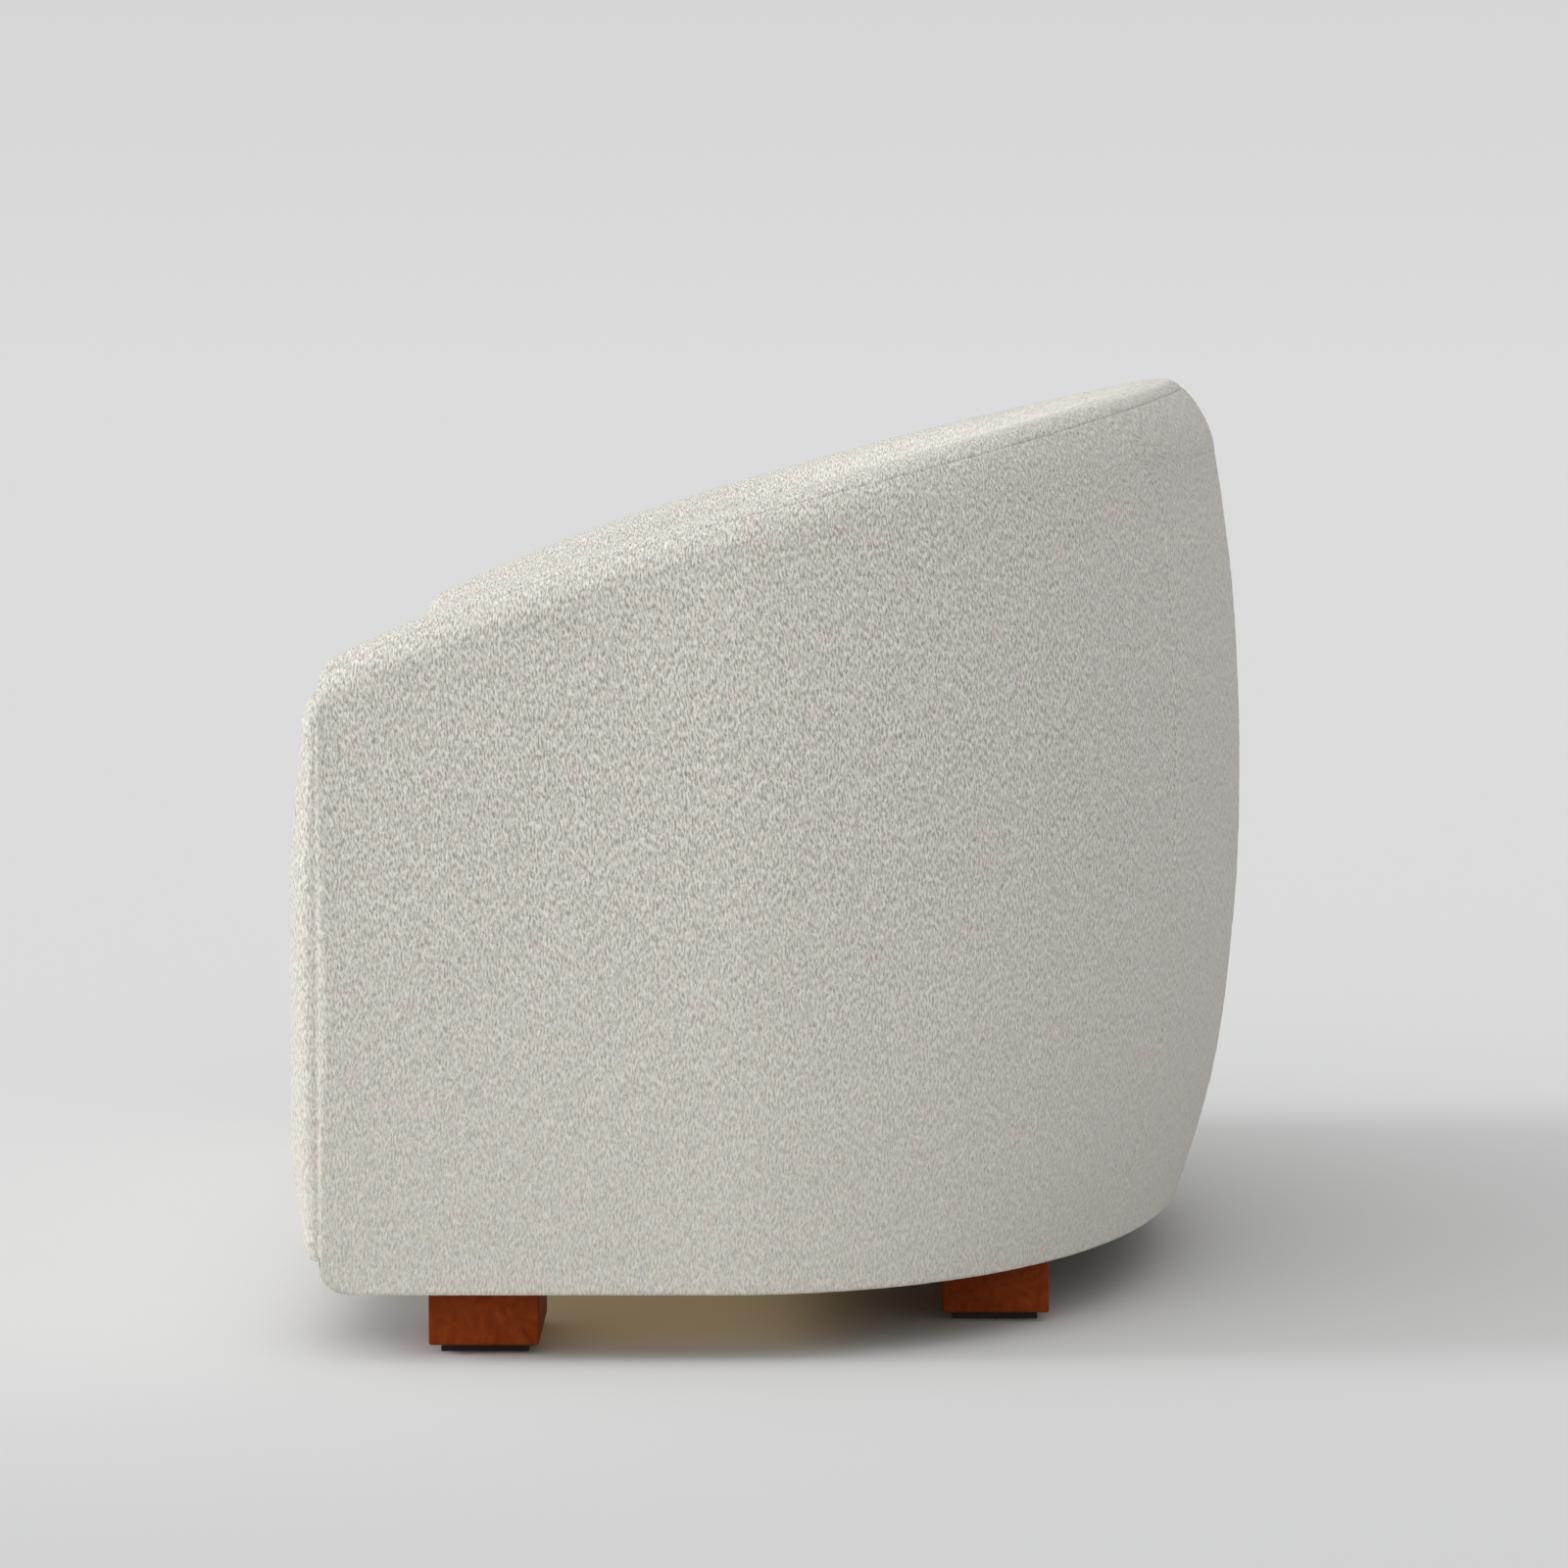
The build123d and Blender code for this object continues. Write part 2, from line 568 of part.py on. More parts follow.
# ---- legs ------------------------------------------------------------------------------------
def leg_places():
    """Middle of each leg, by name."""
    return {f"{end}_{side}": (sign * (outer - LEG_X / 2), y)
            for end, (outer, y) in (("front", FRONT_LEG), ("rear", REAR_LEG))
            for side, sign in (("left", 1), ("right", -1))}


def bolt_places():
    """Middle of each leg bolt, two to a leg."""
    places = []
    for x, y in leg_places().values():
        inwards = -1 if x > 0 else 1
        offsets = FRONT_BOLTS if y < 0 else REAR_BOLTS
        places += [(x + inwards * inboard, y + back) for inboard, back in offsets]
    return places


def make_legs():
    top = DUST_Z - 0.2
    bolts, nuts, glides, screws = [], [], [], []
    for name, (x, y) in leg_places().items():
        block = box(x - LEG_X / 2, x + LEG_X / 2, y - LEG_Y / 2, y + LEG_Y / 2, LEG_FOOT_Z, top)
        block = chamfer(block.edges(), LEG_EDGE)
        glide = box(x - LEG_X / 2 + GLIDE_INSET_X, x + LEG_X / 2 - GLIDE_INSET_X,
                    y - LEG_Y / 2 + GLIDE_INSET_Y, y + LEG_Y / 2 - GLIDE_INSET_Y, 0, LEG_FOOT_Z - 0.1)
        for step in (-1, 1):
            sx = x + step * LEG_X / 4
            glide -= rod(sx, y, -1, 4, GLIDE_SCREW_R * 2 + 0.3)
            glide -= rod(sx, y, 3, LEG_FOOT_Z + 1, GLIDE_SCREW_R + 0.2)
            block -= rod(sx, y, LEG_FOOT_Z - 1, LEG_FOOT_Z + 21, GLIDE_SCREW_R + 0.2)
            head = rod(sx, y, 2, 3.9, GLIDE_SCREW_R * 2)
            screws.append(head + rod(sx, y, 3.9, LEG_FOOT_Z + 20, GLIDE_SCREW_R))
        glides.append(glide)
        for bx, by in bolt_places():
            if abs(bx - x) < LEG_X / 2 and abs(by - y) < LEG_Y / 2:
                block -= rod(bx, by, LEG_FOOT_Z + 12, top + 1, BOLT_R + 0.2)
                bolts.append(rod(bx, by, LEG_FOOT_Z + 14, BASE_Z + PLY + 8, BOLT_R))
                nut = rod(bx, by, BASE_Z + PLY + GAP, BASE_Z + PLY + 2, BOLT_HEAD_R)
                nut += rod(bx, by, BASE_Z + PLY + 2, BASE_Z + PLY + 7, BOLT_R + 2)
                nuts.append(nut - rod(bx, by, BASE_Z, BASE_Z + PLY + 9, BOLT_R + 0.1))
        keep("leg_" + name, block)
    keep("leg_bolts", *bolts)
    keep("leg_nuts", *nuts)
    keep("leg_glides", *glides)
    keep("glide_screws", *screws)


def main():
    make_wall()
    make_arm_fronts()
    make_front_border()
    make_frame()
    make_suspension()
    make_dust_cover()
    make_cushions()
    make_legs()
    os.makedirs("parts", exist_ok=True)
    for name, solids in parts.items():
        shape = solids[0] if len(solids) == 1 else Compound(children=list(solids))
        export_step(shape, f"parts/{name}.step")
    print(len(parts), "nodes")


main()
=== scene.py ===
"""Curved two-seat sofa in looped-pile cloth on wooden block legs: its visible pieces.

Metres, in the frame of the solids: +Z is up, the sofa faces -Y, and +X is the sitter's left arm. On the
wall, w is a station along its outer plan line (0 the front of the left arm, 1 the end of the straight side,
2 the middle of the back, 4 the front of the right arm), n a distance inwards from that line and z a height.
Cloth pieces are grids of points, with UV maps in metres along the cloth.
"""
import json
import logging
import math
from dataclasses import dataclass
from enum import Enum
from typing import Callable

import bmesh
import bpy
import numpy as np
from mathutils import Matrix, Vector


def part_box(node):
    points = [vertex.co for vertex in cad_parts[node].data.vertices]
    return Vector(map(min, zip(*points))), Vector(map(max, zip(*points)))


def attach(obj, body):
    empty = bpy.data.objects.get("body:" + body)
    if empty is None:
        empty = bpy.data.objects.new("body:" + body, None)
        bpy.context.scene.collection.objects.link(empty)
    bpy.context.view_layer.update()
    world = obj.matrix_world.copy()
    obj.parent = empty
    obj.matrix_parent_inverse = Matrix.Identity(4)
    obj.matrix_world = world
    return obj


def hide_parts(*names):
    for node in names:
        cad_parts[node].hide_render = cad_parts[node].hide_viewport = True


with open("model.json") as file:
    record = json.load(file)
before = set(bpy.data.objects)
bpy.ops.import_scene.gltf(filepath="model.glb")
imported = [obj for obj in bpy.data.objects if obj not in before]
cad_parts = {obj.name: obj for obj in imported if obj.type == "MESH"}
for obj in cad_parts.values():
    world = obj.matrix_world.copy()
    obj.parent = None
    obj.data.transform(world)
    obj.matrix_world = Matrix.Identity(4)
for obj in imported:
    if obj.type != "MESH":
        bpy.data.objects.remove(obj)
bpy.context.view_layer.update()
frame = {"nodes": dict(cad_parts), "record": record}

Array = np.ndarray
Material = bpy.types.Material
Node = bpy.types.Node
Object = bpy.types.Object
Socket = bpy.types.NodeSocket
Tree = bpy.types.NodeTree
Arrays = tuple[Array, Array]
Pair = tuple[float, float]
Triple = tuple[float, float, float]
StationLine = Callable[[Array], Array]
Surface = Callable[[Array, Array], Array]

LOG = logging.getLogger("sofa")
RIGHT_ANGLE = math.pi / 2
SOFA_BODY = "sofa"


def mm(value: float) -> float:
    """Millimetres as metres."""
    return value / 1000


class Side(Enum):
    """The sitter's left is +X, and the sitter's right is its mirror image."""
    LEFT = 1
    RIGHT = -1

    @property
    def word(self) -> str:
        """The side as it stands in the names of nodes and pieces."""
        return self.name.lower()


# ---- colours and nodes ----
def linear(hex_colour: str) -> tuple[float, float, float, float]:
    """Turn an sRGB colour, such as "c8c4ba", into the linear RGBA that Blender's nodes take."""
    channels = [int(hex_colour[i:i + 2], 16) / 255 for i in (0, 2, 4)]
    red, green, blue = (c / 12.92 if c <= 0.04045 else ((c + 0.055) / 1.055) ** 2.4 for c in channels)
    return red, green, blue, 1.0


def feed(tree: Tree, node: Node, inputs: dict) -> None:
    """Fill a node's inputs, by name or index, with sockets or values."""
    for key, value in inputs.items():
        if isinstance(value, Socket):
            tree.links.new(value, node.inputs[key])
        else:
            node.inputs[key].default_value = value


def add(tree: Tree, kind: str, inputs: dict | None = None, **settings: object) -> Node:
    """Add a shader node to a tree.

    Args:
        tree: the node tree.
        kind: the node's type without its leading "ShaderNode".
        inputs: what feeds it.
        settings: properties of the node itself.

    Returns:
        The new node.
    """
    node = tree.nodes.new("ShaderNode" + kind)
    for name, value in settings.items():
        setattr(node, name, value)
    feed(tree, node, inputs or {})
    return node


def reckon(tree: Tree, operation: str, *values: Socket | float, **settings: object) -> Socket:
    """Result of a sum on sockets and numbers."""
    return add(tree, "Math", dict(enumerate(values)), operation=operation, **settings).outputs[0]


def noise(tree: Tree, where: Socket, scale: float, detail: float, distortion: float = 0.0,
          dimensions: str = "3D") -> Node:
    """Noise over the given coordinates."""
    inputs = {"Vector": where, "Scale": scale, "Detail": detail, "Distortion": distortion}
    return add(tree, "TexNoise", inputs, noise_dimensions=dimensions)


def ranged(tree: Tree, value: Socket, old: Pair, new: Pair = (0.0, 1.0), curve: str = "LINEAR") -> Socket:
    """Carry a value from one range over to another, and hold it there past the ends."""
    inputs = {"Value": value, "From Min": old[0], "From Max": old[1], "To Min": new[0], "To Max": new[1]}
    return add(tree, "MapRange", inputs, interpolation_type=curve).outputs[0]


def bump(tree: Tree, height: Socket, distance: float, strength: Socket | float) -> Socket:
    """Normal of a surface with fine relief."""
    return add(tree, "Bump", {"Height": height, "Distance": distance, "Strength": strength}).outputs[0]


def ramp(tree: Tree, factor: Socket, stops: list[tuple[float, str]]) -> Socket:
    """Colour ramp.

    Args:
        tree: the node tree.
        factor: what drives the ramp.
        stops: positions from 0 to 1 with their sRGB hex colours.

    Returns:
        The colour.
    """
    node = add(tree, "ValToRGB", {"Fac": factor})
    elements = node.color_ramp.elements
    while len(elements) < len(stops):
        elements.new(0.5)
    for element, (position, colour) in zip(elements, stops):
        element.position = position
        element.color = linear(colour)
    return node.outputs["Color"]


def new_material(name: str) -> tuple[Material, Tree, Node]:
    """Make a material, and return it with its node tree and its Principled shader."""
    material = bpy.data.materials.new(name)
    material.use_nodes = True
    tree = material.node_tree
    tree.nodes.clear()
    shader = add(tree, "BsdfPrincipled")
    add(tree, "OutputMaterial", {"Surface": shader.outputs["BSDF"]})
    return material, tree, shader


def mapped(tree: Tree, source: str, scale: Triple, turned: float = 0.0) -> Socket:
    """Coordinates of a pattern.

    Args:
        tree: the node tree.
        source: "UV" or "Object".
        scale: how many pattern units go into a metre, along each axis.
        turned: angle about Z in degrees.

    Returns:
        The coordinates.
    """
    where = add(tree, "TexCoord").outputs[source]
    return add(tree, "Mapping", {"Vector": where, "Rotation": (0, 0, math.radians(turned)),
                                 "Scale": scale}).outputs["Vector"]


# ---- finishes ----
@dataclass(frozen=True)
class BoucleCloth:
    """Bouclé: short curly loops of pale yarn, brushed upright, with painted shade in the small gaps between
    them and painted highlight on their tips.

    Loose fibre blooms where the cloth is seen edge-on. Towards the hem the painted shade and highlight of the
    loops fade into one plain colour and the bump weakens, standing in for the softer light low on the wall.
    """
    name: str = "boucle_cloth"
    # gap and shade are painted shade between the loops, yarn is the loops' own colour, and the tip colour is
    # a painted highlight on their tips
    gap: str = "a6a39d"
    shade: str = "cbc8c3"
    yarn: str = "dfddd9"
    tip: str = "f4f2f0"
    # plain: the colour that the painted loop shading fades into near the hem
    plain: str = "d1cec9"
    loop_width: float = mm(1.5)
    loop_height: float = mm(4.8)
    relief: float = mm(0.9)
    # heights over which the painted loop shading and the bump fade out towards the hem, for the softer light
    # there
    brushed: Pair = (mm(60), mm(520))

    def loops(self, tree: Tree, lean: float, shift: float) -> Socket:
        """Noise drawn out along the loops and bent by slower noise.

        Args:
            tree: the node tree.
            lean: how far the loops lean from upright, in degrees.
            shift: offset into the noise, so that two layers differ.

        Returns:
            The noise, from 0 to 1.
        """
        coords = mapped(tree, "UV", (1 / self.loop_width, 1 / self.loop_height, 1), lean)
        bend = noise(tree, coords, 0.7, 1.0).outputs["Color"]
        moved = add(tree, "VectorMath", {0: bend, 1: (1.3, 1.3, 0.0), 2: coords},
                    operation="MULTIPLY_ADD").outputs[0]
        placed = add(tree, "VectorMath", {0: moved, 1: (shift, shift, 0.0)}, operation="ADD").outputs[0]
        return noise(tree, placed, 1.0, 1.0, dimensions="2D").outputs["Fac"]

    def build(self) -> Material:
        """Make the material: two layers of loops drive the bump and a colour of painted shade in their gaps
        and painted highlight on their tips, and slow noise tints them.
        """
        material, tree, shader = new_material(self.name)
        height = reckon(tree, "MAXIMUM", self.loops(tree, 13, 0.0), self.loops(tree, -17, 7.3))
        # painted shade and highlight: the colour runs from the shaded gap to the lit tip with the loops'
        # height
        stops = [(0.4, self.gap), (0.52, self.shade), (0.62, self.yarn), (0.76, self.tip)]
        place = add(tree, "SeparateXYZ", {0: add(tree, "TexCoord").outputs["Object"]})
        # painted light: towards the hem the loops' shaded and lit colours give way to the plain colour, and
        # the bump weakens with them
        flat = ranged(tree, place.outputs[2], self.brushed, (0.45, 0.0), "SMOOTHSTEP")
        colour = add(tree, "Mix", {"Factor": flat, 6: ramp(tree, height, stops), 7: linear(self.plain)},
                     data_type="RGBA").outputs[2]
        mottle = noise(tree, mapped(tree, "UV", (16, 16, 16)), 5.0, 1.0).outputs["Fac"]
        tint = ramp(tree, mottle, [(0.36, "f9fbfb"), (0.46, "fcfcf9"), (0.54, "fffefb"), (0.64, "fefbfa")])
        tinted = add(tree, "Mix", {"Factor": 1.0, 6: colour, 7: tint}, data_type="RGBA",
                     blend_type="MULTIPLY").outputs[2]
        upright = reckon(tree, "SUBTRACT", 1.0, flat)
        feed(tree, shader, {"Base Color": tinted, "Normal": bump(tree, height, self.relief, upright)})
        feed(tree, shader, {"Roughness": 0.95, "Specular IOR Level": 0.1})
        feed(tree, shader, {"Sheen Weight": 0.35, "Sheen Roughness": 0.35})
        return material


@dataclass(frozen=True)
class WovenCloth:
    """Plain woven or spun-bonded cloth: a fine square weave."""
    name: str
    dark: str
    light: str
    thread: float
    relief: float = mm(0.25)

    def build(self) -> Material:
        """Make the material: the product of two crossed, slightly uneven waves."""
        material, tree, shader = new_material(self.name)
        coords = mapped(tree, "Object", (1 / self.thread,) * 3)
        waves = [add(tree, "TexWave", {"Vector": coords, "Scale": 0.5, "Distortion": 0.6},
                     bands_direction=axis).outputs["Fac"] for axis in ("X", "Y")]
        weave = reckon(tree, "MULTIPLY", *waves)
        feed(tree, shader, {"Base Color": ramp(tree, weave, [(0.0, self.dark), (1.0, self.light)]),
                            "Normal": bump(tree, weave, self.relief, 0.6), "Roughness": 0.9,
                            "Specular IOR Level": 0.2})
        return material


@dataclass(frozen=True)
class Timber:
    """Wood, raw or stained: long fibres along X with slow growth rings across them."""
    name: str
    dark: str
    light: str
    ring: float = mm(9)
    fibre: float = mm(1.1)
    roughness: float = 0.7
    gloss: float = 0.3

    def build(self) -> Material:
        """Make the material: distorted rings across the grain, and fibres drawn out along it."""
        material, tree, shader = new_material(self.name)
        ring, fibre = 1 / self.ring, 1 / self.fibre
        rings = noise(tree, mapped(tree, "Object", (ring / 14, ring, ring)), 0.8, 3.0, 1.6).outputs["Fac"]
        fibres = noise(tree, mapped(tree, "Object", (fibre / 22, fibre, fibre)), 1.0, 2.0).outputs["Fac"]
        both = add(tree, "Mix", {"Factor": 0.4, 2: rings, 3: fibres}).outputs[0]
        rough = ranged(tree, fibres, (0.0, 1.0), (self.roughness - 0.08, self.roughness + 0.08))
        feed(tree, shader, {"Base Color": ramp(tree, both, [(0.32, self.dark), (0.68, self.light)]),
                            "Roughness": rough, "Normal": bump(tree, fibres, mm(0.12), 0.5),
                            "Specular IOR Level": self.gloss})
        return material


@dataclass(frozen=True)
class Grained:
    """A material whose surface is an even fine grain, such as foam or nylon."""
    name: str
    dark: str
    light: str
    grain: float
    relief: float
    roughness: float
    metallic: float = 0.0

    def build(self) -> Material:
        """Make the material: fine noise for grain and roughness, slow noise for colour."""
        material, tree, shader = new_material(self.name)
        fine = noise(tree, mapped(tree, "Object", (1 / self.grain,) * 3), 1.0, 3.0).outputs["Fac"]
        slow = noise(tree, mapped(tree, "Object", (30, 30, 30)), 1.0, 2.0).outputs["Fac"]
        both = add(tree, "Mix", {"Factor": 0.5, 2: fine, 3: slow}).outputs[0]
        rough = ranged(tree, fine, (0.0, 1.0), (self.roughness - 0.06, min(1.0, self.roughness + 0.06)))
        feed(tree, shader, {"Base Color": ramp(tree, both, [(0.35, self.dark), (0.65, self.light)]),
                            "Roughness": rough, "Normal": bump(tree, fine, self.relief, 0.5),
                            "Metallic": self.metallic})
        return material


class Wardrobe:
    """Every finish of the sofa, built once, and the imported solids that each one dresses."""

    def __init__(self) -> None:
        """Build the materials."""
        finishes = {
            "boucle": BoucleCloth(),
            "cushion_boucle": BoucleCloth(name="boucle_cloth_seat"),
            "leg_wood": Timber("stained_hardwood", "6a280b", "904117", mm(14), roughness=0.5, gloss=0.05),
            "wadding": Grained("polyester_wadding", "dedcd4", "f2f1ec", mm(4), mm(1.0), 0.95),
            "foam": Grained("polyurethane_foam", "cdbf8f", "e2d7ad", mm(1.2), mm(0.4), 0.95),
            "board": Grained("hardboard", "6f4f33", "8a6745", mm(0.8), mm(0.1), 0.7),
            "ply": Timber("birch_plywood", "a98758", "cfb083", roughness=0.6),
            "timber": Timber("sawn_pine", "b08a55", "d8b987", roughness=0.75),
            "webbing": WovenCloth("elastic_webbing", "2b2620", "55493b", mm(2.5), mm(0.4)),
            "felt": Grained("needled_felt", "5a5854", "7d7a74", mm(2.2), mm(0.5), 0.97),
            "dust_cloth": WovenCloth("spun_bonded_dust_cloth", "3a2d20", "54422f", mm(1.6)),
            "deck_cloth": WovenCloth("deck_cloth", "a29b8a", "dad4c6", mm(2.6), mm(0.5)),
            "spring_steel": Grained("spring_wire", "77797c", "9a9ca0", mm(0.8), mm(0.05), 0.38, 1.0),
            "zinc": Grained("zinc_plated_steel", "9a9ca1", "c3c5c9", mm(0.8), mm(0.05), 0.34, 1.0),
            "glide": Grained("moulded_black_nylon", "0d0d0d", "1c1c1c", mm(0.6), mm(0.08), 0.55),
            "clip": Grained("moulded_white_nylon", "cfcfc8", "e4e4de", mm(0.6), mm(0.08), 0.5),
        }
        self.by_slot = {slot: finish.build() for slot, finish in finishes.items()}

    def dress_solids(self) -> None:
        """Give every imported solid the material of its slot."""
        for entry in frame["record"]["subparts"]:
            mesh = frame["nodes"][entry["node"]].data
            mesh.materials.clear()
            mesh.materials.append(self.by_slot[entry["material_slot"]])


# ---- grids and meshes ----
def grid_faces(rows: int, columns: int, closed: bool = False) -> Array:
    """Quads of a grid of points.

    Args:
        rows: number of rows.
        columns: number of columns.
        closed: whether the last column joins the first.

    Returns:
        Vertex numbers, shape (faces, 4).
    """
    numbers = np.arange(rows * columns).reshape(rows, columns)
    right = np.roll(numbers, -1, axis=1) if closed else numbers[:, 1:]
    left = numbers if closed else numbers[:, :-1]
    return np.stack([left[:-1], right[:-1], right[1:], left[1:]], axis=-1).reshape(-1, 4)


def grid_points(x: Array, y: Array, z: Array) -> Array:
    """Points of a grid whose coordinates broadcast to one shape."""
    return np.stack(np.broadcast_arrays(x, y, z), axis=-1)


def mesh_object(name: str, points: Array, faces: Array, material: Material,
                uv: Array | None = None) -> Object:
    """Put points and quads into a new object at the origin, shaded smooth.

    Args:
        name: the piece's name.
        points: vertex places, whose last axis is x, y, z.
        faces: vertex numbers, shape (faces, 4).
        material: the finish.
        uv: cloth coordinates in metres, shape (vertices, 2).

    Returns:
        The new object.
    """
    mesh = bpy.data.meshes.new(name)
    mesh.vertices.add(points.size // 3)
    place_vertices(mesh, points)
    mesh.loops.add(faces.size)
    mesh.loops.foreach_set("vertex_index", faces.astype(np.int32).ravel())
    mesh.polygons.add(len(faces))
    mesh.polygons.foreach_set("loop_start", np.arange(0, faces.size, faces.shape[1], dtype=np.int32))
    mesh.polygons.foreach_set("use_smooth", np.ones(len(faces), bool))
    mesh.update(calc_edges=True)
    if uv is not None:
        layer = mesh.uv_layers.new(name="cloth")
        layer.data.foreach_set("uv", uv[faces.ravel()].astype(np.float32).ravel())
    mesh.validate()
    mesh.materials.append(material)
    piece = bpy.data.objects.new(name, mesh)
    bpy.context.scene.collection.objects.link(piece)
    return piece


def place_vertices(mesh: bpy.types.Mesh, points: Array) -> None:
    """Move a mesh's vertices to the given points."""
    mesh.vertices.foreach_set("co", points.astype(np.float32).ravel())


def read(items: bpy.types.bpy_prop_collection, name: str, width: int = 3) -> Array:
    """A vector of every item of a mesh, or with width 1 a whole number."""
    values = np.empty(len(items) * width, np.int32 if width == 1 else np.float32)
    items.foreach_get(name, values)
    return values if width == 1 else values.reshape(-1, width)


def add_cloth_map(piece: Object) -> None:
    """Give a piece a cloth map in metres, projected along each face's main axis."""
    mesh = piece.data
    towards = np.abs(read(mesh.polygons, "normal")).argmax(axis=1)
    axis = np.repeat(towards, read(mesh.polygons, "loop_total", 1))
    place = read(mesh.vertices, "co")[read(mesh.loops, "vertex_index", 1)]
    u = np.where(axis == 0, place[:, 1], place[:, 0])
    v = np.where(axis == 2, place[:, 1], place[:, 2])
    layer = mesh.uv_layers.new(name="cloth")
    layer.data.foreach_set("uv", np.column_stack([u, v]).astype(np.float32).ravel())


def mend(piece: Object, close_ends: bool = False) -> None:
    """Close a mesh's open ends, or else merge its doubles, and point its faces outwards."""
    work = bmesh.new()
    work.from_mesh(piece.data)
    if close_ends:
        bmesh.ops.holes_fill(work, edges=work.edges, sides=0)
    else:
        bmesh.ops.remove_doubles(work, verts=work.verts, dist=mm(0.05))
    bmesh.ops.recalc_face_normals(work, faces=work.faces)
    work.to_mesh(piece.data)
    work.free()


def declare(piece: Object, body: str, nodes: tuple[str, ...]) -> Object:
    """Let a piece ride on a body in place of its solids."""
    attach(piece, body)
    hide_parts(*nodes)
    return piece


def mirrored(points: Array, side: Side) -> Array:
    """What was worked out for the left, on the given side."""
    return points * np.array([side.value, 1.0, 1.0])


def normals_of(points: Array) -> Array:
    """Unit normals of a grid of shape (rows, columns, 3)."""
    normal = np.cross(np.gradient(points, axis=1), np.gradient(points, axis=0))
    return normal / np.maximum(norms(normal), 1e-12)


def lengths_along(points: Array, axis: int) -> Array:
    """Running length of a grid's lines along one axis, starting at 0."""
    steps = np.linalg.norm(np.diff(points, axis=axis), axis=-1)
    return np.insert(np.cumsum(steps, axis=axis), 0, 0.0, axis=axis)


def lattice(u: Array, v: Array, cell_u: float, cell_v: float, seed: int) -> Array:
    """Smooth random field: random values at the corners of cells, and smoothstep blends between them.

    Args:
        u, v: coordinates in metres.
        cell_u, cell_v: cell size along them.
        seed: seed of the values.

    Returns:
        The field, between -1 and 1.
    """
    size = 256
    table = np.random.default_rng(seed).uniform(-1, 1, (size, size))
    a, b = u / cell_u, v / cell_v
    i, j = np.floor(a).astype(int), np.floor(b).astype(int)
    s, t = a - i, b - j
    s, t = s * s * (3 - 2 * s), t * t * (3 - 2 * t)

    def corner(di: int, dj: int) -> Array:
        """Value at a corner of each point's cell."""
        return table[(i + di) % size, (j + dj) % size]
    low = corner(0, 0) * (1 - s) + corner(1, 0) * s
    high = corner(0, 1) * (1 - s) + corner(1, 1) * s
    return low * (1 - t) + high * t


def spread(length: float, step: float, edge: float = mm(9), fine: float = mm(1.3)) -> Array:
    """Places along a length, finer near both ends, where cloth rolls in.

    Args:
        length: the length.
        step: spacing in the middle.
        edge: width of the fine zone at each end.
        fine: spacing there.

    Returns:
        Places from 0 to 1.
    """
    ends = np.arange(0, edge, fine)
    count = max(2, int(round((length - 2 * edge) / step)) + 1)
    return np.concatenate([ends, np.linspace(edge, length - edge, count), (length - ends)[::-1]]) / length


def unit(value: Array) -> Array:
    """The value held between 0 and 1."""
    return np.clip(value, 0, 1)


def norms(vectors: Array) -> Array:
    """Lengths of vectors, with their last axis kept."""
    return np.linalg.norm(vectors, axis=-1, keepdims=True)


def evenly(path: Array, count: int) -> Array:
    """Evenly spaced points along a path of points (a, b), without its last one."""
    run = np.concatenate([[0.0], np.cumsum(np.linalg.norm(np.diff(path, axis=0), axis=1))])
    places = np.linspace(0, run[-1], count, endpoint=False)
    return np.stack([np.interp(places, run, path[:, i]) for i in (0, 1)], axis=-1)


def rounded(loop: Array, passes: int) -> Array:
    """Soften a closed loop of points by averaging each with its neighbours."""
    for _ in range(passes):
        loop = (np.roll(loop, 1, axis=0) + 2 * loop + np.roll(loop, -1, axis=0)) / 4
    return loop


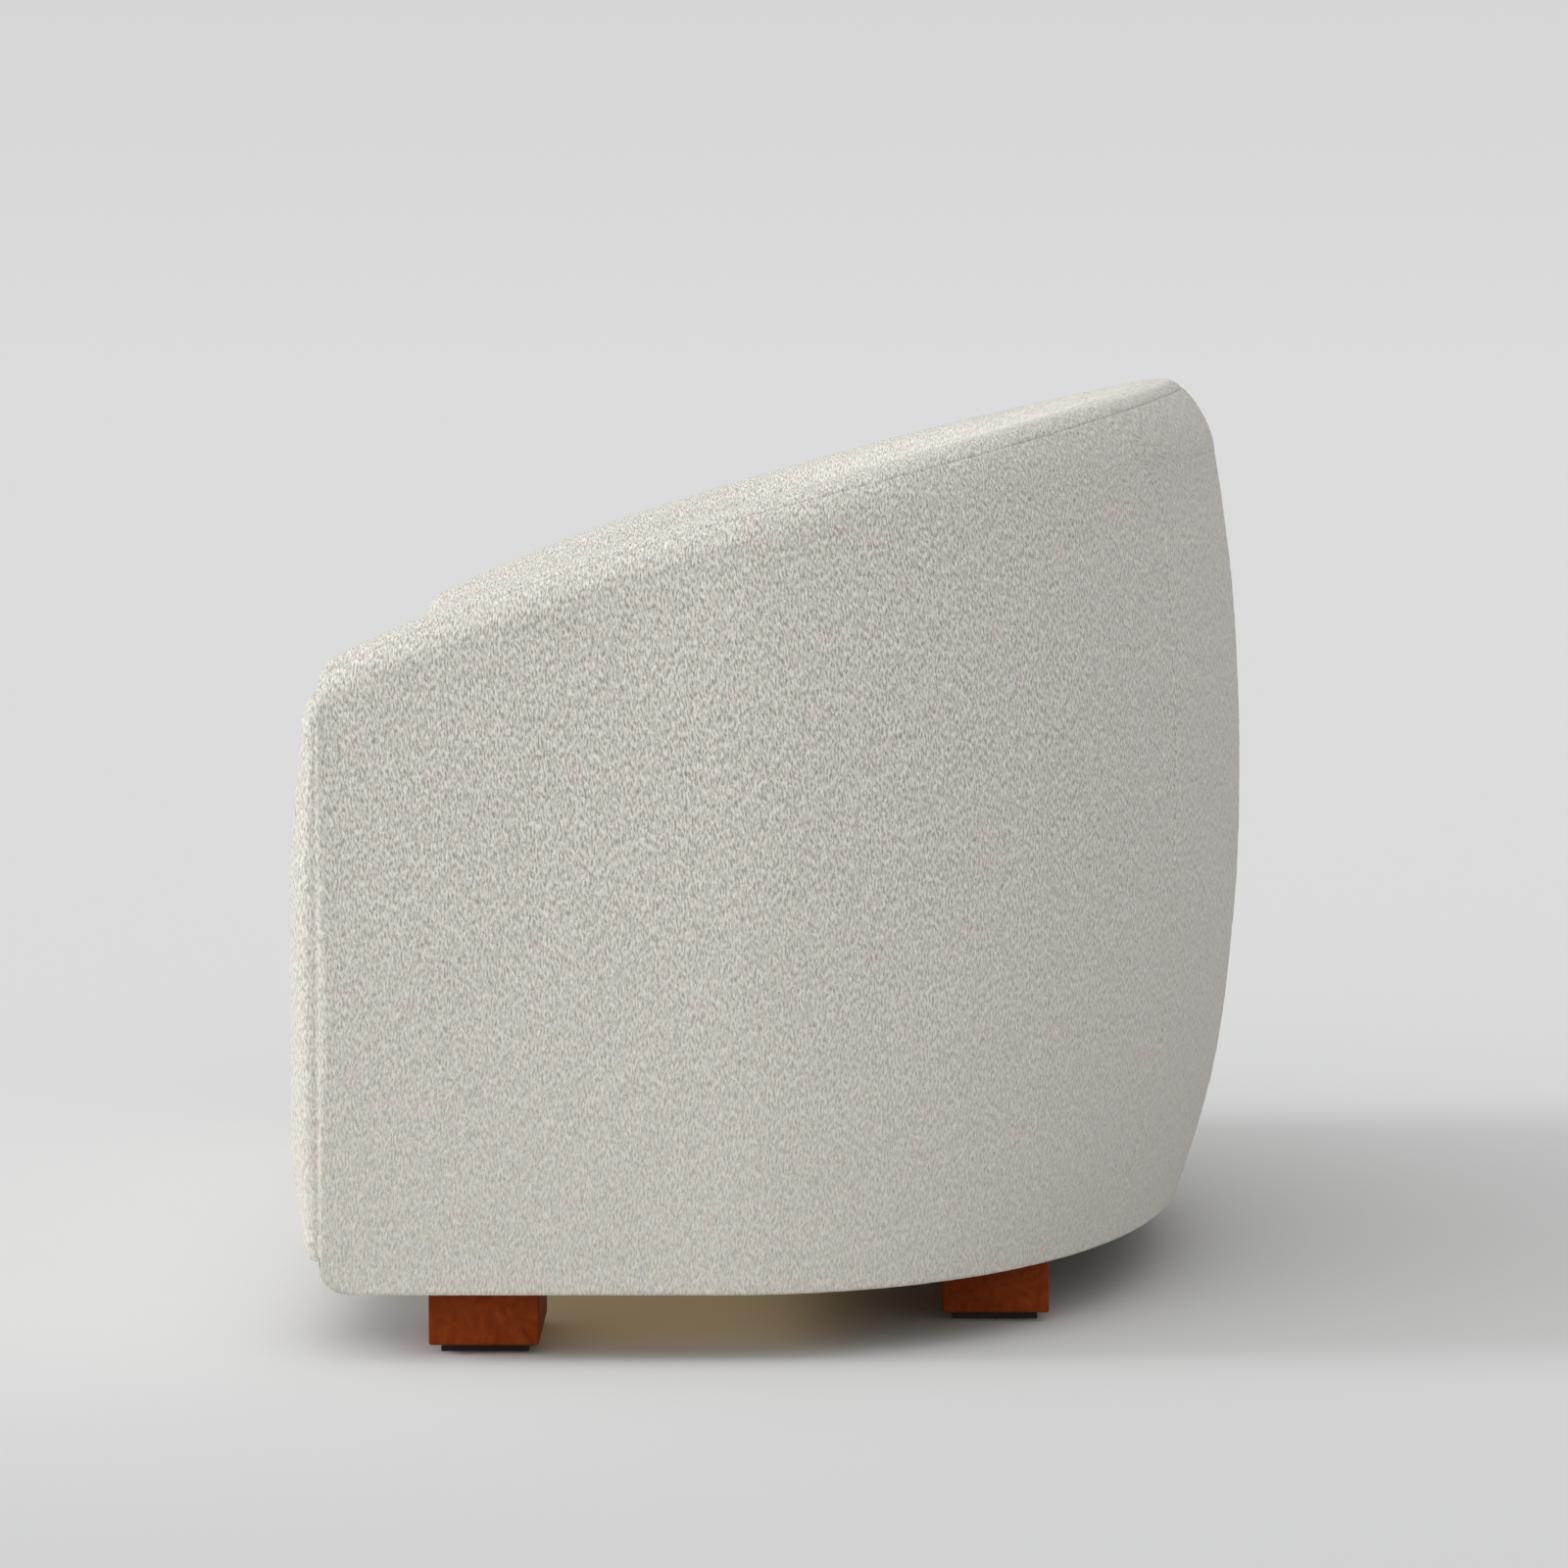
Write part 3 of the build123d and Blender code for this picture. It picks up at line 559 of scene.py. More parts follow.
# ---- the shape of the wall ----
@dataclass(frozen=True)
class WallShape:
    """The wrap-round wall: plan line, rim, belly, shoulder, roll and inside lean, as in the solids.

    A pair of sizes holds the arm's and the back's.
    """
    half_width: float = mm(750)
    seam_y: float = mm(-382)
    curve_y: float = mm(-62)
    back_y: float = mm(407.5)
    height: float = mm(788)
    hem: float = mm(54)
    belly_z: float = mm(440)
    belly_low: float = mm(56)
    belly_high: float = mm(36)
    side_belly: float = 0.25
    rim_slope: float = mm(175)
    rim_sag: float = mm(38)
    rim_run: float = mm(690)
    crest: Pair = (mm(48), mm(67))
    shoulder_height: Pair = (mm(34), mm(64))
    shoulder_power: Pair = (1.0, 1.3)
    seam_drop: Pair = (mm(9), mm(6.5))
    roll: float = mm(66)
    inside_low: Pair = (mm(122), mm(205))
    inside_high: Pair = (mm(116), mm(140))
    deck: float = mm(262)
    top_corner: float = mm(14)
    hem_lift: float = mm(20.5)
    hem_lift_run: float = mm(25)

    def turn(self, w: Array) -> Array:
        """Angle round the half ellipse: 0 at the end of the straight side, 90 degrees at the back."""
        return np.maximum(0.0, (np.minimum(w, 4 - w) - 1) * RIGHT_ANGLE)

    def mix(self, pair: Pair, w: Array) -> Array:
        """A size that changes from the arm's to the back's with the squared sine of the turn."""
        return pair[0] + (pair[1] - pair[0]) * np.sin(self.turn(w)) ** 2

    def plan(self, w: Array) -> tuple[Array, Array, Array, Array]:
        """Plan line: straight up to w = 1 and then a half ellipse, whose right half mirrors the left.

        Returns:
            Its x and y, and its unit normals' x and y.
        """
        near = np.minimum(w, 4 - w)
        side = np.where(w > 2, -1.0, 1.0)
        t = self.turn(w)
        run = self.back_y - self.curve_y
        x = self.half_width * np.cos(t)
        straight_y = self.seam_y + near * (self.curve_y - self.seam_y)
        y = np.where(near <= 1, straight_y, self.curve_y + run * np.sin(t))
        nx, ny = -np.cos(t) / self.half_width, -np.sin(t) / run
        size = np.hypot(nx, ny)
        return side * x, y, side * nx / size, ny / size

    def at(self, w: Array, n: Array, z: Array) -> Array:
        """Points at station w, n inwards and z up."""
        x, y, nx, ny = self.plan(w)
        return grid_points(x + n * nx, y + n * ny, z)

    def behind_seam(self, w: Array) -> Array:
        """Distance behind the front seam along the straight side."""
        return np.minimum(w, 4 - w) * (self.curve_y - self.seam_y)

    def crest_n(self, w: Array) -> Array:
        """Distance of the crest from the plan line."""
        return self.mix(self.crest, w)

    def crest_z(self, w: Array) -> Array:
        """Height of the rim: a convex fall from the back, and a quarter round at the front corner."""
        _, y, _, ny = self.plan(w)
        s = (self.back_y - self.crest[1] - (y + self.crest_n(w) * ny)) / self.rim_run
        r = self.top_corner
        short = r - np.clip(self.behind_seam(w), 0, r)
        corner = r - np.sqrt(r * r - short * short)
        return self.height - self.rim_slope * s - self.rim_sag * s ** 4 - corner

    def hem_z(self, w: Array) -> Array:
        """Height of the hem, which lifts in a quarter ellipse at the front corner."""
        short = unit(1 - self.behind_seam(w) / self.hem_lift_run)
        return self.hem + self.hem_lift * (1 - np.sqrt(1 - short * short))

    def bulge(self, w: Array, z: Array) -> Array:
        """How far the outside stands in from the plan line: powers 2.6 and 2 down and up from the belly."""
        low = np.maximum(0.0, (self.belly_z - z) / (self.belly_z - self.hem))
        high = np.maximum(0.0, (z - self.belly_z) / (self.height - self.belly_z))
        share = self.mix((self.side_belly, 1.0), w)
        return share * (self.belly_low * low ** 2.6 + self.belly_high * high ** 2)

    def inside_n(self, w: Array, z: Array) -> Array:
        """Distance from the plan line to the inside face, which leans straight back."""
        share = np.maximum(0.0, (z - self.deck) / (self.crest_z(w) - self.roll - self.deck))
        low, high = self.mix(self.inside_low, w), self.mix(self.inside_high, w)
        return low + (high - low) * share

    def seam_angle(self, w: Array) -> Array:
        """Angle on the outer shoulder of the top seam, 90 degrees being the crest."""
        height, power = self.mix(self.shoulder_height, w), self.mix(self.shoulder_power, w)
        return np.arcsin((1 - self.mix(self.seam_drop, w) / height) ** (1 / power))

    def shoulder(self, w: Array, angle: Array) -> Arrays:
        """Point (n, z) of the outer shoulder, a superellipse quarter from the side to the crest."""
        height, power = self.mix(self.shoulder_height, w), self.mix(self.shoulder_power, w)
        low = self.crest_z(w) - height
        reach = self.crest_n(w) - self.bulge(w, low)
        return self.crest_n(w) - reach * np.abs(np.cos(angle)) ** power, low + height * np.sin(angle) ** power

    def outside(self, w: Array, t: Array) -> Array:
        """Outside: t runs from the hem up the side (to 0.9) and over the shoulder to the top seam."""
        split = 0.9
        top = self.crest_z(w) - self.mix(self.shoulder_height, w)
        z_side = self.hem_z(w) + (top - self.hem_z(w)) * np.minimum(t / split, 1)
        n_top, z_top = self.shoulder(w, self.seam_angle(w) * unit((t - split) / (1 - split)))
        on_side = t <= split
        return self.at(w, np.where(on_side, self.bulge(w, z_side), n_top), np.where(on_side, z_side, z_top))

    def rim(self, w: Array, t: Array) -> Array:
        """Rim: t runs from the top seam over the crest (0.3) and down the quarter ellipse of the roll."""
        split = 0.3
        start = self.seam_angle(w)
        n_out, z_out = self.shoulder(w, start + (RIGHT_ANGLE - start) * np.minimum(t / split, 1))
        angle = RIGHT_ANGLE * (1 - unit((t - split) / (1 - split)))
        low = self.crest_z(w) - self.roll
        reach = self.inside_n(w, low) - self.crest_n(w)
        n_in, z_in = self.crest_n(w) + reach * np.cos(angle), low + self.roll * np.sin(angle)
        outer = t <= split
        return self.at(w, np.where(outer, n_out, n_in), np.where(outer, z_out, z_in))

    def inside(self, w: Array, t: Array) -> Array:
        """Inside: t runs from the foot of the roll straight down to just over the deck."""
        z = self.crest_z(w) - self.roll + (self.deck + mm(2) - self.crest_z(w) + self.roll) * t
        return self.at(w, self.inside_n(w, z), z)

    def stations(self, w0: float, w1: float, places: Array) -> Array:
        """Stations between two others, at shares of the plan line's length between them."""
        w = np.linspace(w0, w1, 2001)
        x, y, _, _ = self.plan(w)
        run = np.concatenate([[0.0], np.cumsum(np.hypot(np.diff(x), np.diff(y)))])
        return np.interp(places * run[-1], run, w)

    def length(self, w0: float, w1: float) -> float:
        """Length of the plan line between two stations."""
        x, y, _, _ = self.plan(np.linspace(w0, w1, 2001))
        return float(np.hypot(np.diff(x), np.diff(y)).sum())


# ---- cloth panels ----
class Edge(Enum):
    """How a panel's border turns in: the width of its quarter round and how deep that sinks."""
    FLAT = (0.0, 0.0)
    RIM = (mm(3), mm(1.3))
    SEAM = (mm(3.5), mm(3.4))
    FRONT = (mm(9), mm(8))
    HEM = (mm(4), mm(2.6))
    BORDER = (mm(9), mm(14))


@dataclass(frozen=True)
class PanelMake:
    """How a cloth panel is sewn and stuffed: its edges at the start and end of u, then of v."""
    edges: tuple[Edge, Edge, Edge, Edge]
    seed: int
    step: float = mm(2.6)
    softness: float = mm(1.0)
    pile: float = mm(0.55)

    def finish(self, points: Array, outwards: Array) -> Arrays:
        """Turn a smooth patch into sewn cloth.

        Each border turns in along a quarter ellipse, which at a front seam doesn't move along the sofa.
        Broad lattices give the stuffing's softness, and fine ones give the nap.

        Args:
            points: the patch, shape (rows, columns, 3).
            outwards: a vector pointing out of the sofa.

        Returns:
            The sewn points and the cloth coordinates.
        """
        normal = normals_of(points)
        normal = normal * np.sign((normal * outwards).sum(-1).mean())
        u, v = lengths_along(points, 1), lengths_along(points, 0)
        distances = (u, u[:, -1:] - u, v, v[-1:, :] - v)
        inset = np.zeros(u.shape)
        for distance, edge in zip(distances, self.edges):
            run, depth = edge.value
            if run > 0:
                short = unit(1 - distance / run)
                inset = np.maximum(inset, depth * (1 - np.sqrt(np.maximum(0.0, 1 - short ** 2))))
        calm = unit(np.minimum.reduce(distances) / mm(30))
        soft = self.softness * calm * (lattice(u, v, mm(140), mm(110), self.seed)
                                       + 0.4 * lattice(u, v, mm(55), mm(48), self.seed + 1))
        nap = self.pile * (0.65 * lattice(u, v, mm(3.0), mm(6.5), self.seed + 2)
                           + 0.35 * lattice(u, v, mm(6.0), mm(9.0), self.seed + 3))
        sinks = normal.copy()
        if self.edges[0] is Edge.FRONT:
            sinks[..., 1] *= unit(u / (3 * Edge.FRONT.value[0]))
        moved = points + normal * (soft + nap)[..., None] - sinks * inset[..., None]
        return moved, np.stack([u, v], axis=-1)


def upright(w: float) -> StationLine:
    """A line of stations that is one station at every height."""
    return lambda t: 0 * t + w


def rear_seam(t: Array) -> Array:
    """Station of the seam between side and back: upright, but drawn forwards at hem and rim."""
    foot = unit(1 - t / 0.3) ** 1.3
    top = unit((t - 0.83) / 0.14)
    return 1.613 - 0.055 * foot - 0.06 * top * top * (3 - 2 * top)


@dataclass
class Covers:
    """The sewn covers of arms and back, outside, over the rim and inside."""
    shape: WallShape
    cloth: Material
    rim_seam_w: float = 1.56
    inside_seam_w: float = 1 + 4 / 9

    def build(self) -> list[Object]:
        """Build each arm's outside, the band over its rim and its inside, and then the back's."""
        shape, rim_w, inside_w = self.shape, self.rim_seam_w, self.inside_seam_w
        front, seam, rim, hem, flat = Edge.FRONT, Edge.SEAM, Edge.RIM, Edge.HEM, Edge.FLAT
        pieces = []
        for side in Side:
            pieces += [
                self.panel("side_panel", "side_cover", PanelMake((front, seam, hem, rim), 11, mm(2.5)),
                           shape.outside, (upright(0), rear_seam), mm(620), (1.0, 0.3, 0.0), side),
                self.panel("arm_rim", "arm_top_cover", PanelMake((front, rim, rim, rim), 37),
                           shape.rim, (upright(0), upright(rim_w)), mm(130), (0.0, 0.0, 1.0), side),
                self.panel("inside_arm_panel", "inside_arm_cover",
                           PanelMake((front, seam, rim, flat), 53, mm(3), mm(1.5)),
                           shape.inside, (upright(0), upright(inside_w)), mm(290), (-1.0, -0.3, 0.0), side)]
        return pieces + [
            self.panel("back_panel", "outside_back_cover",
                       PanelMake((seam, seam, hem, rim), 23, mm(2.8)),
                       shape.outside, (rear_seam, lambda t: 4 - rear_seam(t)), mm(620), (0.0, 1.0, 0.0)),
            self.panel("back_rim", "back_top_cover", PanelMake((rim,) * 4, 41),
                       shape.rim, (upright(rim_w), upright(4 - rim_w)), mm(169), (0.0, 0.0, 1.0)),
            self.panel("inside_back_panel", "inside_back_cover",
                       PanelMake((seam, seam, rim, flat), 61, mm(3), mm(1.8)),
                       shape.inside, (upright(inside_w), upright(4 - inside_w)), mm(420), (0.0, -1.0, 0.0))]

    def panel(self, name: str, node: str, make: PanelMake,
              surface: Surface, ends: tuple[StationLine, StationLine],
              height: float, outwards: Triple, side: Side | None = None) -> Object:
        """Sew one panel of the wall.

        Args:
            name, node: names of the piece and of the solid that it stands for, without the side's.
            make: how it is sewn.
            surface: the wall's surface as a function of w and t.
            ends: stations of its first and last column as functions of t.
            height: its length along t.
            outwards: a vector pointing out of the sofa's left side.
            side: the side that it is on, if it is on one.

        Returns:
            The new object.
        """
        t = spread(height, make.step)[:, None]
        first, last = (float(line(np.array(0.5))) for line in ends)
        share = spread(self.shape.length(first, last), make.step)
        w = self.shape.stations(first, last, share)[None, :]
        w = w + (ends[0](t) - first) * (1 - share) + (ends[1](t) - last) * share
        points, outwards = (mirrored(each, side or Side.LEFT) for each in (surface(w, t), outwards))
        moved, uv = make.finish(points, outwards)
        faces = grid_faces(*points.shape[:2])
        if (normals_of(points) * outwards).sum(-1).mean() < 0:
            faces = faces[:, ::-1]
        ending = f"_{side.word}" if side else ""
        piece = mesh_object(name + ending, moved, faces, self.cloth, uv.reshape(-1, 2))
        return declare(piece, SOFA_BODY, (node + ending,))


@dataclass
class Fronts:
    """The crowned arm fronts and the padded border between them."""
    shape: WallShape
    cloth: Material
    crown: float = mm(25.5)
    groove: float = mm(8)
    flange: float = mm(4.5)
    flange_out: float = mm(0.6)
    lip_back: float = mm(9)
    axis_inset: float = mm(60)
    wrap_back: float = mm(33)
    border_out: float = mm(14)
    border_tuck: float = mm(6)
    facing: float = mm(70)

    def build(self) -> list[Object]:
        """Build both arm fronts and the border."""
        return [self.arm_front(side) for side in Side] + [self.border()]

    def outline(self, count: int) -> Array:
        """Closed, even outline (n, z) of the arm's front, from the hem round by the outside."""
        shape = self.shape
        w = np.zeros(1)
        t = np.linspace(0, 1, 120)
        points = np.concatenate([shape.outside(w, t), shape.rim(w, t)[1:], shape.inside(w, t)[1:]])
        path = np.stack([shape.half_width - points[:, 0], points[:, 2]], axis=-1)
        hem = float(shape.hem_z(w)[0])
        foot = np.stack([np.full(60, path[-1, 0]), np.linspace(path[-1, 1], hem, 60)], axis=-1)[1:]
        return rounded(evenly(np.concatenate([path, foot, path[:1]]), count), 3)

    def depth(self, z: Array, low: float, high: float) -> Array:
        """Crown up the middle: power 0.45 over 150 mm from the rim, or a sine over 117 mm from the hem."""
        top = unit((high - z) / mm(150))
        foot = unit((z - low) / mm(117))
        return self.crown * np.minimum(top ** 0.45, np.sin(foot * RIGHT_ANGLE) ** 0.6)

    def arm_front(self, side: Side) -> Object:
        """Crowned panel with a lip that runs back into the arm.

        Rings run from the outline (r = 0) to a line up the middle (r = 1), and the crown rises with the
        power 0.33 of r.
        """
        outline = self.outline(520)
        low, high = outline[:, 1].min(), outline[:, 1].max()
        middle_n = (outline[:, 0].max() + outline[:, 0].min()) / 2
        foot = np.stack([np.full(len(outline), middle_n),
                         np.clip(outline[:, 1], low + self.axis_inset, high - self.axis_inset)], axis=-1)
        away = outline - foot
        reach = norms(away)
        edge = foot + away * (1 - self.groove / reach)
        r = np.linspace(0, 1, 60)[:, None] ** 2.2
        ring = edge[None] * (1 - r[..., None]) + foot[None] * r[..., None]
        crown = self.depth(foot[:, 1], low, high)[None] * r ** 0.33
        lip = (foot + away * (1 - self.flange / reach))[None]
        ring = np.concatenate([lip, lip, ring])
        crown = np.concatenate([np.full_like(crown[:1], -self.lip_back), crown[:1], crown])
        r = np.concatenate([r[:1], r[:1], r])
        x, z = self.shape.half_width - ring[..., 0], ring[..., 1]
        nap = mm(0.5) * lattice(x, z, mm(3.2), mm(6), 71)
        points = grid_points(x, self.shape.seam_y - self.flange_out - crown - nap * unit(r * 6), z)
        wrap, wrap_faces = self.under_wrap()
        faces = np.concatenate([grid_faces(*x.shape, closed=True), wrap_faces + x.size])
        both = mirrored(np.concatenate([points.reshape(-1, 3), wrap]), side)
        piece = mesh_object(f"arm_front_{side.word}", both, faces, self.cloth)
        mend(piece)
        add_cloth_map(piece)
        return declare(piece, SOFA_BODY, (f"arm_front_cover_{side.word}", f"arm_front_pad_{side.word}"))

    def under_wrap(self) -> Arrays:
        """Points and quads of the cloth under the left arm, from its foot back along the lifting hem."""
        shape = self.shape
        n = np.linspace(mm(14), shape.inside_low[0] - mm(3), 30)[None, :]
        behind = np.linspace(0, 1, 24)[:, None] ** 1.4 * (shape.hem_lift_run + self.wrap_back)
        w = behind / (shape.curve_y - shape.seam_y)
        z = shape.hem_z(w) + mm(2.2) + mm(9) * unit(1 - behind / mm(3))
        points = grid_points(shape.half_width - n, shape.seam_y + behind - mm(0.5), z)
        return points.reshape(-1, 3), grid_faces(*points.shape[:2])

    def border(self) -> Object:
        """Padded border: a superelliptic bulge from the hem to the deck, and its facing on the deck."""
        low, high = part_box("front_border_cover")
        half, middle = high.x + self.border_tuck, (low.z + high.z) / 2
        z = spread(high.z - low.z, mm(2.8))[:, None] * (high.z - low.z) + low.z
        x = (spread(2 * half, mm(2.8)) * 2 - 1)[None, :] * half
        share = unit(np.abs((z - middle) / ((high.z - low.z) / 2)))
        y = self.shape.seam_y - mm(1) - self.border_out * (1 - share ** 3.5) ** 0.5
        make = PanelMake((Edge.BORDER, Edge.BORDER, Edge.FLAT, Edge.FLAT), seed=83, softness=mm(1.2))
        moved, _ = make.finish(grid_points(x, y, z), (0.0, -1.0, 0.0))
        back = np.linspace(0, self.facing, 26)[:, None]
        rows = np.concatenate([moved, grid_points(x, y[-1:] + back, high.z + mm(0.5))[1:]])
        piece = mesh_object("front_border", rows, grid_faces(*rows.shape[:2]), self.cloth)
        mend(piece)
        if sum(face.normal.y for face in piece.data.polygons) > 0:
            piece.data.flip_normals()
        add_cloth_map(piece)
        return declare(piece, SOFA_BODY, ("front_border_cover",))


# ---- cushions ----
def apply_modifiers(piece: Object) -> None:
    """Replace a piece's mesh by what its modifiers make of it."""
    made = bpy.data.meshes.new_from_object(piece.evaluated_get(bpy.context.evaluated_depsgraph_get()))
    piece.modifiers.clear()
    old, name = piece.data, piece.data.name
    piece.data = made
    bpy.data.meshes.remove(old)
    made.name = name
    made.polygons.foreach_set("use_smooth", np.ones(len(made.polygons), bool))


@dataclass
class SeatCushion:
    """A loose boxed cushion, blown up by a cloth simulation and sewn along two boxing seams."""
    shape: WallShape
    cloth: Material
    side: Side
    gap: float = mm(2)
    front_y: float = mm(-392)
    base: float = mm(263.5)
    top: float = mm(430)
    crown: float = mm(12)
    slack: float = mm(4)
    swell: float = mm(9)
    voxel: float = mm(7)
    seam_depth: float = mm(4.2)
    seam_width: float = mm(4)
    air_frames: int = 20

    def outline(self, inset: float, count: int = 260) -> Array:
        """Closed, even outline (x, y) of the left cushion, drawn in from its neighbours."""
        w = np.linspace(0.0, 2.0, 400)
        wall = self.shape.at(w, self.shape.inside_n(w, np.full_like(w, mm(400))) + inset, np.zeros_like(w))
        wall = wall[(wall[:, 1] > self.front_y + inset) & (wall[:, 0] > inset)][:, :2]
        corners = np.array([[inset, wall[-1, 1]], [inset, self.front_y + inset],
                            [wall[0, 0], self.front_y + inset]])
        return rounded(evenly(np.concatenate([wall, corners, wall[:1]]), count), 8)

    def shell(self) -> Arrays:
        """Points and quads of the closed shell before the simulation.

        Rows run from the middle of the underside out to the edge, up the boxing and in over the crown.
        """
        edge = self.outline(self.gap + self.slack)
        centre = edge.mean(axis=0)
        inwards = np.linspace(0.02, 1, 16)
        low, high = self.base + self.slack, self.top - self.slack
        rings = [(s, low) for s in inwards]
        rings += [(1.0, z) for z in np.linspace(low, high, 12)[1:-1]]
        rings += [(s, high + self.crown * (1 - s * s)) for s in inwards[::-1]]
        rows = [np.column_stack([centre + (edge - centre) * s, np.full(len(edge), z)]) for s, z in rings]
        return np.concatenate(rows), grid_faces(len(rows), len(edge), closed=True)

    def build(self) -> Object:
        word = self.side.word
        points, faces = self.shell()
        piece = mesh_object(f"seat_cushion_{word}", mirrored(points, self.side), faces, self.cloth)
        mend(piece, close_ends=True)
        even = piece.modifiers.new("even", "REMESH")
        even.mode = "VOXEL"
        even.voxel_size = self.voxel
        apply_modifiers(piece)
        self.blow_up(piece)
        self.sew(piece)
        add_cloth_map(piece)
        return declare(piece, f"seat_cushion_{word}",
                       (f"seat_cushion_cover_{word}", f"seat_cushion_core_{word}"))

    def blow_up(self, piece: Object) -> None:
        """Fill the cushion with air by simulation, a tanh keeping every move under the swell."""
        before = read(piece.data.vertices, "co")
        settings = piece.modifiers.new("air", "CLOTH").settings
        settings.quality, settings.mass = 5, 0.3
        settings.use_pressure, settings.uniform_pressure_force = True, 4.0
        settings.tension_stiffness = settings.compression_stiffness = 18.0
        settings.shear_stiffness, settings.bending_stiffness = 6.0, 1.2
        settings.effector_weights.gravity = 0.0
        scene = bpy.context.scene
        for step in range(1, self.air_frames + 1):
            scene.frame_set(step)
        apply_modifiers(piece)
        scene.frame_set(1)
        move = (read(piece.data.vertices, "co") - before).astype(float)
        size = norms(move)
        move *= np.tanh(size / self.swell) * self.swell / np.maximum(size, 1e-9)
        place_vertices(piece.data, before + move)
        piece.data.update()

    def sew(self, piece: Object) -> None:
        """Subdivide once, pull the two boxing seams in as bell-shaped valleys, and raise the nap."""
        divide = piece.modifiers.new("finer", "SUBSURF")
        divide.levels = divide.render_levels = 1
        apply_modifiers(piece)
        mesh = piece.data
        points = read(mesh.vertices, "co").astype(float)
        normals = read(mesh.vertex_normals, "vector").astype(float)
        x, y, z = points.T
        boxing = unit(1.4 - 1.6 * np.abs(normals[:, 2]))
        valley = sum(np.exp(-((z - seam) / self.seam_width) ** 2)
                     for seam in (self.base + mm(22), self.top - mm(24)))
        nap = mm(0.5) * (lattice(x + z, y - z, mm(5), mm(6), 97) + 0.5 * lattice(y, x + z, mm(9), mm(8), 98))
        points += normals * (nap - self.seam_depth * boxing * valley)[:, None]
        points[:, 2] = np.maximum(points[:, 2], self.base - mm(1))
        place_vertices(mesh, points)
        mesh.update()


# ---- legs ----
@dataclass
class Legs:
    """Four wooden blocks with softly rounded arrises."""
    wood: Material
    arris: float = mm(2.2)

    def build(self) -> list[Object]:
        """Build a block in the place of each leg's solid."""
        nodes = [f"leg_{end}_{side.word}" for side in Side for end in ("front", "rear")]
        return [declare(self.block(node), SOFA_BODY, (node,)) for node in nodes]

    def block(self, node: str) -> Object:
        """Block in the box of a solid: each point lies a radius out from the block shrunk by that radius."""
        low, high = (np.array(corner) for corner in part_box(node))
        radius = self.arris
        arc = radius * (1 - np.cos(np.linspace(0, RIGHT_ANGLE, 5)))
        middle = np.linspace(0, 1, 7)[1:-1]
        knots = [np.concatenate([low[i] + arc, low[i] + radius + middle * (high[i] - low[i] - 2 * radius),
                                 (high[i] - arc)[::-1]]) for i in range(3)]
        points, faces, count = [], [], 0
        for fixed in range(3):
            a, b = [i for i in range(3) if i != fixed]
            for value in (low[fixed], high[fixed]):
                first, second = np.meshgrid(knots[a], knots[b])
                patch = np.empty(first.shape + (3,))
                patch[..., a], patch[..., b], patch[..., fixed] = first, second, value
                points.append(patch.reshape(-1, 3))
                faces.append(grid_faces(*first.shape) + count)
                count += first.size
        flat = np.concatenate(points)
        core = np.clip(flat, low + radius, high - radius)
        away = flat - core
        round_points = core + away * radius / np.maximum(norms(away), 1e-12)
        piece = mesh_object(f"wooden_{node}", round_points, np.concatenate(faces), self.wood)
        mend(piece)
        return piece


